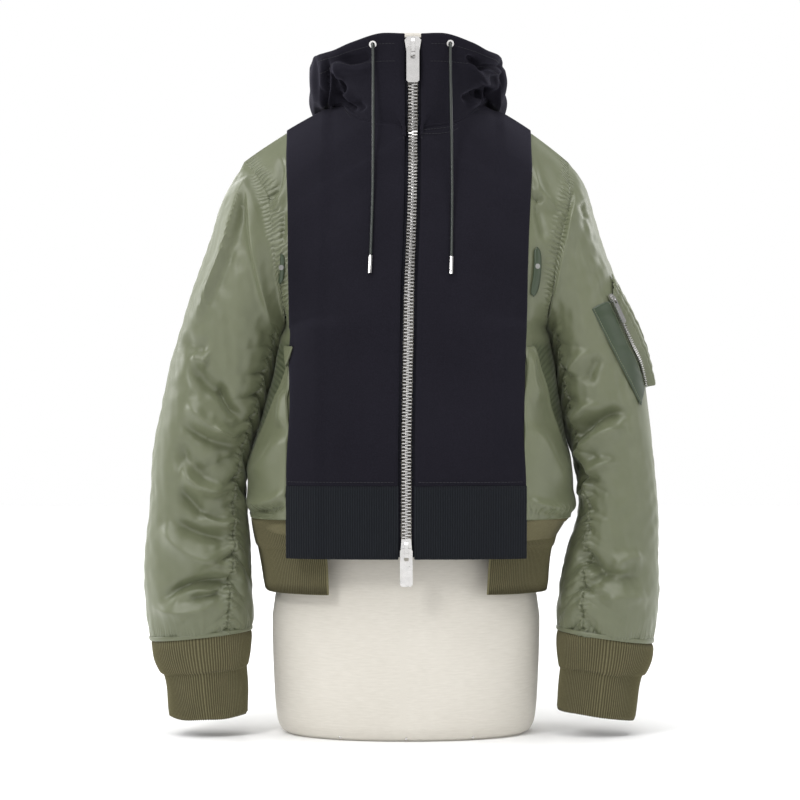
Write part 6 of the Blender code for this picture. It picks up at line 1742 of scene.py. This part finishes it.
def sleeve_at(x, z):
    """(row, turn) of the point of the right sleeve's front at this place across and height."""
    v, turn = np.meshgrid(np.linspace(2.5, 6.5, 33), np.linspace(-0.02, 0.30, 25), indexing="ij")
    here = on_sleeve(1, v, turn)
    best = np.argmin(np.hypot(here[..., 0] - x, here[..., 2] - z))
    v, turn = float(v.flat[best]), float(turn.flat[best])
    step = 0.01
    for _ in range(8):
        here = on_sleeve(1, v, turn)
        by_v = (on_sleeve(1, v + step, turn) - here) / step
        by_turn = (on_sleeve(1, v, turn + step) - here) / step
        matrix = np.array([[by_v[0], by_turn[0]], [by_v[2], by_turn[2]]])
        if abs(np.linalg.det(matrix)) < 1e-6:
            break
        move = np.linalg.solve(matrix, np.array([x - here[0], z - here[2]]))
        v += float(np.clip(move[0], -0.2, 0.2))
        turn += float(np.clip(move[1], -0.01, 0.01))
    return v, turn


def sleeve_normal(v, turn):
    step = 0.01
    down = on_sleeve(1, v + step, turn) - on_sleeve(1, v - step, turn)
    round_it = on_sleeve(1, v, turn + step) - on_sleeve(1, v, turn - step)
    normal = unit(np.cross(down, round_it))
    return normal * np.where(normal @ np.array([0.5, -1.0, 0.0]) > 0, 1.0, -1.0)[..., None]


def over_sleeve(v, turn, height):
    return on_sleeve(1, v, turn) + np.asarray(height)[..., None] * sleeve_normal(v, turn)


def spots_along(table, count):
    """(rows, turns) at even places along a line of spots."""
    rough = np.linspace(0.0, 1.0, 9)
    places = smooth(np.linspace(0, 1, len(table)), table, rough)
    found = np.array([sleeve_at(*place) for place in places])
    return smooth(rough, found, np.linspace(0.0, 1.0, count)).T


def build_sleeve_pocket():
    count, beside = 90, POCKET_ZIP_HALF / SLEEVE_GIRTH
    zip_v, zip_turn = spots_along(POCKET_ZIP, count)
    left_v, left_turn = spots_along(PATCH_LEFT, count)
    top = POCKET_GAP + POCKET_WALL
    share = np.linspace(0.0, 1.0, 22)[None]
    start = (zip_turn + beside)[:, None]
    end = np.maximum(left_turn, zip_turn + beside + 0.006)[:, None]
    v = zip_v[:, None] + (left_v - zip_v)[:, None] * share
    height = top + 0.0003 * ripple(v * 0.055 + share * 0.02, 0.02, 131)
    points = over_sleeve(v, start + (end - start) * share, height)
    outward = (0.5, -1.0, 0.0)
    cloth_piece("pocket_patch", points, POCKET_WALL, outward, DARK_GREEN, "dark_green_nylon",
                ("sleeve_pocket",))
    patch_normals = sleeve_normal(zip_v, zip_turn)[1:-1]
    seams = [stitches_along(placed(points[1:-1, column]), patch_normals, 0.0020, 0.0008)
             for column in (2, 20)]

    t = np.linspace(0.0, 1.0, count)[:, None]
    share = np.linspace(0.0, 1.0, 46)[None]
    reach = PEN_REACH * (0.55 + 0.45 * np.sin(math.pi * t))
    lift = PEN_LIFT * (0.25 + 0.75 * t**1.4) * ease(share, 0.0, 0.35) * ease(1 - share, 0.0, 0.45)
    for groove in (0.30, 0.52, 0.74):
        lift = lift - 0.0016 * bump(share - groove, 0.035) * ease(1 - t, 0.0, 0.1)
    lift = lift + 0.0006 * ripple(t * 0.12 + 0 * share, 0.012, 133) * ease(share, 0.0, 0.2)
    pen_v = zip_v[:, None] - 0.25 * share * (1 - t)
    pen_turn = (zip_turn - beside)[:, None] - reach * share
    pen = over_sleeve(pen_v, pen_turn, top + lift)
    cloth_piece("pen_cloth", pen, POCKET_WALL, (1.0, -0.5, 0.0), SAGE, "sage_nylon", ("pen_pocket",))
    for column in (2, 14, 24, 34):
        normals = sleeve_normal(pen_v[:, column], pen_turn[:, column])
        seams.append(stitches_along(placed(pen[1:-1, column]), normals[1:-1], 0.0022, 0.0009))
    joined_piece("pocket_stitches", seams, SAGE_THREAD)

    fine_v, fine_turn = spots_along(POCKET_ZIP, 400)
    line = over_sleeve(fine_v, fine_turn, POCKET_GAP + POCKET_WALL + 0.0013 + 0 * fine_v)
    lengths = lengths_along(line)
    shape, faces = tooth_shape()
    shape = shape * POCKET_TOOTH_SHARE
    parts = []
    for i, at in enumerate(np.arange(0.006, lengths[-1] - 0.001, POCKET_TOOTH_PITCH / 2)):
        index = min(int(np.searchsorted(lengths, at)), len(line) - 2)
        here = line[index]
        along = unit(line[index] - line[index + 1])
        out = sleeve_normal(fine_v[index], fine_turn[index])
        across = unit(np.cross(along, out)) * (1 if i % 2 else -1)
        local = here + shape[:, :1] * across + shape[:, 1:2] * along + shape[:, 2:] * out
        parts.append((placed(local), [face[:, ::-1] for face in faces] if i % 2 == 0 else faces))
    joined_piece("pocket_teeth", parts, NICKEL, ("pocket_zip",))


# Dark straps beside the jersey, each as a line down the front: (place across, height), then its half width.
Strap = namedtuple("Strap", "top_x top_z low_x low_z bow half")
STRAPS = {
    -1: Strap(0.1396, 0.542, 0.1402, 0.510, -0.0008, 0.0026),
    1: Strap(0.1428, 0.549, 0.1386, 0.495, 0.0030, 0.0044),
}
STRAP_WALL = 0.0016
STRAP_LIFT, STRAP_CROWN = 0.0030, 0.0012
HALVINGS = 40


def row_at(side, x, height, low=1.0, high=8.0):
    """The row of the front that lies at this place across and height."""
    for _ in range(HALVINGS):
        v = (low + high) / 2
        if on_body(FRONT, side, v, across_at(FRONT, side, v, x))[2] > height:
            low = v
        else:
            high = v
    return v


def build_straps():
    for side, word in SIDES.items():
        strap = STRAPS[side]
        t = np.linspace(0.0, 1.0, 40)
        middle_x = strap.top_x + (strap.low_x - strap.top_x) * t + 4 * strap.bow * t * (1 - t)
        height = strap.top_z + (strap.low_z - strap.top_z) * t
        half = strap.half * np.minimum(1.0, np.sqrt(np.maximum(1 - (2 * t - 1) ** 8, 0.02)))
        rows = []
        for x, z, wide in zip(middle_x, height, half):
            row = []
            for share in np.linspace(-1.0, 1.0, 9):
                here = x + wide * share
                v = row_at(side, here, z)
                lift = STRAP_LIFT + STRAP_CROWN * (1 - share * share)
                row.append(raised(FRONT, side, v, across_at(FRONT, side, v, here), lift))
            rows.append(row)
        cloth_piece(f"strap_{word}", np.array(rows), STRAP_WALL, (0.0, -1.0, 0.0), DARK_GREEN,
                    "dark_green_nylon", (f"tab_{word}",), step=2)


# ---------------------------------------------------------------- stitching
NECK_STITCHES = (0.0035, 0.0085)  # below the neck seam
NECK_ROWS, NECK_DROP = 0.33, 0.0125  # so many rows below the seam lie this far down
HOOD_STITCHES = (0.90, 0.72)  # shares of the hood's height


def build_stitches():
    """Rows of thread on the jersey: under the neck seam, over the band seams and beside the hood's edge."""
    parts = []
    for side in (-1, 1):
        share = np.linspace(0.02, 0.93, 160)
        for gap in NECK_STITCHES:
            around = HOOD_START + (0.46 - HOOD_START) * share
            line = neck_point(side, around)
            v = FRONT_NECK * np.clip((0.5 - around) / (0.5 - HOOD_START), 0.0, 1.0)
            below = []
            normals = []
            for at, row in zip(line, v):
                s = across_at(FRONT, side, row, ZIP_EDGE)
                down_row = min(row + gap / NECK_DROP * NECK_ROWS, FRONT_HEM_ROW)
                down_s = across_at(FRONT, side, down_row, abs(at[0]))
                below.append(raised(FRONT, side, down_row, down_s, THREAD_LIFT))
                normals.append(body_normal(FRONT, side, row, s))
            parts.append(stitches_along(placed(np.array(below)), np.array(normals)))
        v = np.full(120, FRONT_BAND - 0.10)
        zip_side, edge = across_at(FRONT, side, v, ZIP_EDGE), jersey_edge_at(side, v)
        s = zip_side + (edge - zip_side) * np.linspace(0.03, 0.985, 120)
        x = np.abs(on_body(FRONT, side, v, s)[..., 0])
        line = raised(FRONT, side, v, s, jersey_height(side, x) + THREAD_LIFT)
        parts.append(stitches_along(placed(line), body_normal(FRONT, side, v, s)))
        around = np.linspace(HOOD_START + 0.03, 0.42, 160)[None]
        for height in HOOD_STITCHES:
            up = np.array([height - 0.01, height, height + 0.01])[:, None]
            points, normals = hood_surface(side, around, up + 0 * around)
            parts.append(stitches_along(placed(points[1] + THREAD_LIFT * normals[1]), normals[1]))
    joined_piece("jersey_stitches", parts, NAVY_THREAD)


# ---------------------------------------------------------------- drawcords
def hood_at(side, x, z):
    around, up = 0.15, 0.8
    for _ in range(12):
        here = on_hood(side, around, up)
        step = 0.004
        by_around = (on_hood(side, around + step, up) - here) / step
        by_up = (on_hood(side, around, up - step) - here) / -step
        matrix = np.array([[by_around[0], by_up[0]], [by_around[2], by_up[2]]])
        move = np.linalg.solve(matrix, np.array([x - here[0], z - here[2]]))
        around = float(np.clip(around + move[0], 0.02, 0.4))
        up = float(np.clip(up + move[1], 0.0, 0.99))
    return around, up


def front_depth(side, x, z):
    top = on_body(FRONT, side, FRONT_NECK - 0.6, 0.3)[2]
    if z > top:
        return on_hood(side, *hood_at(side, x, z))[1]
    v = row_at(side, abs(x), z, 1.5, 9.0)
    return on_body(FRONT, side, v, across_at(FRONT, side, v, abs(x)))[1]


def cord_path(side):
    row = CORDS[side]
    heights = np.linspace(row.eyelet_z - 0.004, row.end_z, 60)
    xs = np.interp(heights, [row.end_z, row.eyelet_z], [row.end_x, row.eyelet_x])
    ys = np.array([front_depth(side, x, z) for x, z in zip(xs, heights)]) - CORD_RADIUS - CORD_GAP
    for _ in range(400):
        ys[1:-1] = np.minimum(ys[1:-1], (ys[:-2] + ys[2:]) / 2)
    return np.column_stack([xs, ys, heights])


def eyelet_frame(side):
    row = CORDS[side]
    around, up = hood_at(side, row.eyelet_x, row.eyelet_z)
    here = on_hood(side, around, up)
    step = 0.01
    across = unit(on_hood(side, around + step, up) - on_hood(side, around - step, up)) * side
    along = on_hood(side, around, min(up + step, 1.0)) - on_hood(side, around, up - step)
    along = unit(along - (along @ across) * across)
    out = np.cross(across, along)
    out = out if out[1] < 0 else -out
    return here, across, along, out


def resampled(line, spacing):
    line = np.array(line)
    lengths = lengths_along(line)
    count = int(lengths[-1] / spacing) + 1
    return smooth(lengths, line, np.linspace(0.0, lengths[-1], count))


# The bend out of an eyelet, as heights over the hood and drops below the eyelet's middle.
EYELET_FACE = LAID + EYELET_DEPTH
CORD_BEND = (
    (LAID + 0.0009, 0.0),
    (EYELET_FACE + 0.0006, 0.0),
    (EYELET_FACE + 0.0022, 0.0006),
    (EYELET_FACE + 0.0034, 0.0022),
    (EYELET_FACE + 0.0036, 0.0046),
)
BEND_DROP = 0.012


def build_cords():
    for side, word in SIDES.items():
        start, _, along, out = eyelet_frame(side)
        path = cord_path(side)
        bend = [start + height * out - drop * along for height, drop in CORD_BEND]
        hanging = next(i for i, point in enumerate(path) if point[2] < start[2] - BEND_DROP)
        line = placed(np.vstack([bend, resampled(path[hanging:], CORD_STEP)]))
        curve = bpy.data.curves.new(f"drawcord_{word}", "CURVE")
        curve.dimensions = "3D"
        curve.bevel_depth = CORD_RADIUS
        curve.bevel_resolution = 4
        curve.use_fill_caps = True
        curve.materials.append(CORD_GLOSS)
        spline = curve.splines.new("POLY")
        spline.points.add(len(line) - 1)
        for place, point in zip(spline.points, line):
            place.co = (*point, 1.0)
        spline.use_smooth = True
        cord = add_object(f"drawcord_{word}", curve)
        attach(cord, ROOT)
        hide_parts(f"cord_{word}")


# ---------------------------------------------------------------- stage
FLOOR_HALF = 6.0
WALL_LIGHT = 1.0
OVERHEAD_LIGHT = 0.34
LEVEL_UP_TO, STEEP_FROM = 0.20, 0.42
CEILING_LIGHT = 2.3
Lamp = namedtuple("Lamp", "name place aim size energy")
LAMPS = (
    Lamp("key", (-1.7, -2.3, 2.2), (0.0, 0.0, 0.42), 0.9, 33.0),
    Lamp("fill", (2.4, -1.5, 1.2), (0.0, 0.0, 0.40), 1.1, 7.0),
    Lamp("rim left", (-2.2, 0.9, 1.2), (0.0, 0.0, 0.45), 1.0, 14.0),
    Lamp("rim right", (2.0, 1.6, 1.4), (0.0, 0.0, 0.45), 1.0, 9.0),
    Lamp("back", (-0.6, 2.8, 1.7), (0.0, 0.0, 0.40), 1.6, 22.0),
)


def build_stage():
    corners = ((-1, -1, 0), (1, -1, 0), (1, 1, 0), (-1, 1, 0))
    points = FLOOR_HALF * np.array(corners, float)
    floor_material = new_material("pale floor", (0.95, 0.95, 0.95), 0.9)
    nodes = Nodes(floor_material)
    nodes.link(nodes.between(nodes.noise(3.0), 0.0, 1.0, 0.88, 0.92), "Roughness")
    mesh = make_mesh("floor", points, [np.array([[0, 1, 2, 3]])])
    mesh.materials.append(floor_material)
    floor = add_object("floor", mesh)

    build_world()
    scene = bpy.context.scene
    scene.view_settings.view_transform = "Standard"
    for row in LAMPS:
        light = bpy.data.lights.new(row.name, "AREA")
        light.shape = "DISK"
        light.size = row.size
        light.energy = row.energy
        lamp = add_object(row.name, light)
        lamp.location = row.place
        direction = np.array(row.aim) - np.array(row.place)
        lamp.rotation_euler = (math.atan2(math.hypot(direction[0], direction[1]), -direction[2]), 0.0,
                               math.atan2(direction[1], direction[0]) - math.pi / 2)

    sky = bpy.data.lights.new("ceiling", "SUN")
    sky.energy = CEILING_LIGHT
    sky.angle = math.radians(60)
    ceiling = add_object("ceiling", sky)
    ceiling.rotation_euler = (math.radians(12), 0.0, math.radians(-20))

    view = bpy.data.cameras.new("camera")
    view.sensor_fit = "HORIZONTAL"
    view.angle = 2 * math.atan(WIDE_AT_FORM / 2 / EYE_AWAY)
    camera = add_object("camera", view)
    camera.location = (AXIS_X + EYE_SIDE, AXIS_Y - EYE_AWAY, EYE_HEIGHT)
    camera.rotation_euler = (math.pi / 2, 0.0, 0.0)
    scene.camera = camera


def build_world():
    """White walls all round, and less light from straight above and below."""
    world = bpy.data.worlds.new("studio")
    bpy.context.scene.world = world
    world.use_nodes = True
    tree = world.node_tree
    background = tree.nodes["Background"]
    background.inputs["Color"].default_value = (1.0, 1.0, 1.0, 1.0)
    place = tree.nodes.new("ShaderNodeTexCoord")
    split = tree.nodes.new("ShaderNodeSeparateXYZ")
    tree.links.new(place.outputs["Generated"], split.inputs[0])
    steep = tree.nodes.new("ShaderNodeMath")
    steep.operation = "ABSOLUTE"
    tree.links.new(split.outputs[2], steep.inputs[0])
    strength = tree.nodes.new("ShaderNodeMapRange")
    strength.interpolation_type = "SMOOTHSTEP"
    tree.links.new(steep.outputs[0], strength.inputs[0])
    for index, value in enumerate((LEVEL_UP_TO, STEEP_FROM, WALL_LIGHT, OVERHEAD_LIGHT), 1):
        strength.inputs[index].default_value = value
    tree.links.new(strength.outputs[0], background.inputs["Strength"])


# How each piece of cloth is held, what carries it, and how much fuller its cut is than what shows.
# Straps, bindings and seams are narrower than the centimetre that a sheet needs.
Held = namedtuple("Held", "piece how rests_on fullness")
CLOTH_HELD = (
    Held("back_cloth", "gathered", "form_linen", 1.05),
    Held("shoulder_cloth_{side}", "draped", "form_linen", 1.02),
    Held("front_cloth_{side}", "gathered", "form_linen", 1.04),
    Held("pocket_cloth_{side}", "laid", "front_cloth_{side}", 1.02),
    Held("sleeve_cloth_{side}", "gathered", "shoulder_cloth_{side}", 1.12),
    Held("cuff_knit_{side}", "stretched", "sleeve_cloth_{side}", 0.92),
    Held("hem_knit", "stretched", "back_cloth", 0.95),
    Held("jersey_cloth_{side}", "hung", "form_linen", 1.0),
    Held("band_knit_{side}", "hung", "jersey_cloth_{side}", 1.0),
    Held("hood_cloth_{side}", "draped", "form_linen", 1.04),
    Held("pocket_patch", "laid", "sleeve_cloth_right", 1.0),
    Held("pen_cloth", "laid", "sleeve_cloth_right", 1.0),
)


def declare_cloth():
    for held in CLOTH_HELD:
        words = SIDES.values() if "{side}" in held.piece else ("",)
        for word in words:
            name = held.piece.format(side=word)
            width, length, area = CUTS[name]
            length *= held.fullness
            area = min(area * held.fullness, width * length)


def finish_nodes():
    """Materials of the solids that are shown as they are."""
    for node, material in (
        ("zip_tape_left", TAPE_CLOTH), ("zip_tape_right", TAPE_CLOTH), ("slider_top", NICKEL),
        ("slider_bottom", NICKEL), ("pull_top", NICKEL), ("pull_bottom", NICKEL),
        ("pocket_slider", NICKEL), ("pocket_pull", NICKEL),
        ("snap_left", SNAP_METAL), ("snap_right", SNAP_METAL),
        ("aglet_left", NICKEL), ("aglet_right", NICKEL), ("eyelet_left", NICKEL), ("eyelet_right", NICKEL),
    ):
        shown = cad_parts[node]
        shown.data.materials.clear()
        shown.data.materials.append(material)
        shown.data.shade_smooth()
        shown.data.set_sharp_from_angle(angle=SHARP_METAL)


build_stage()
build_cords()
build_form()
build_nails()
build_sleeves()
build_cuffs()
build_hem_rib()
build_nylon_fronts()
build_back()
build_jersey_fronts()
build_hood()
build_zip()
build_bindings()
build_sleeve_pocket()
build_straps()
build_stitches()
finish_nodes()
declare_cloth()
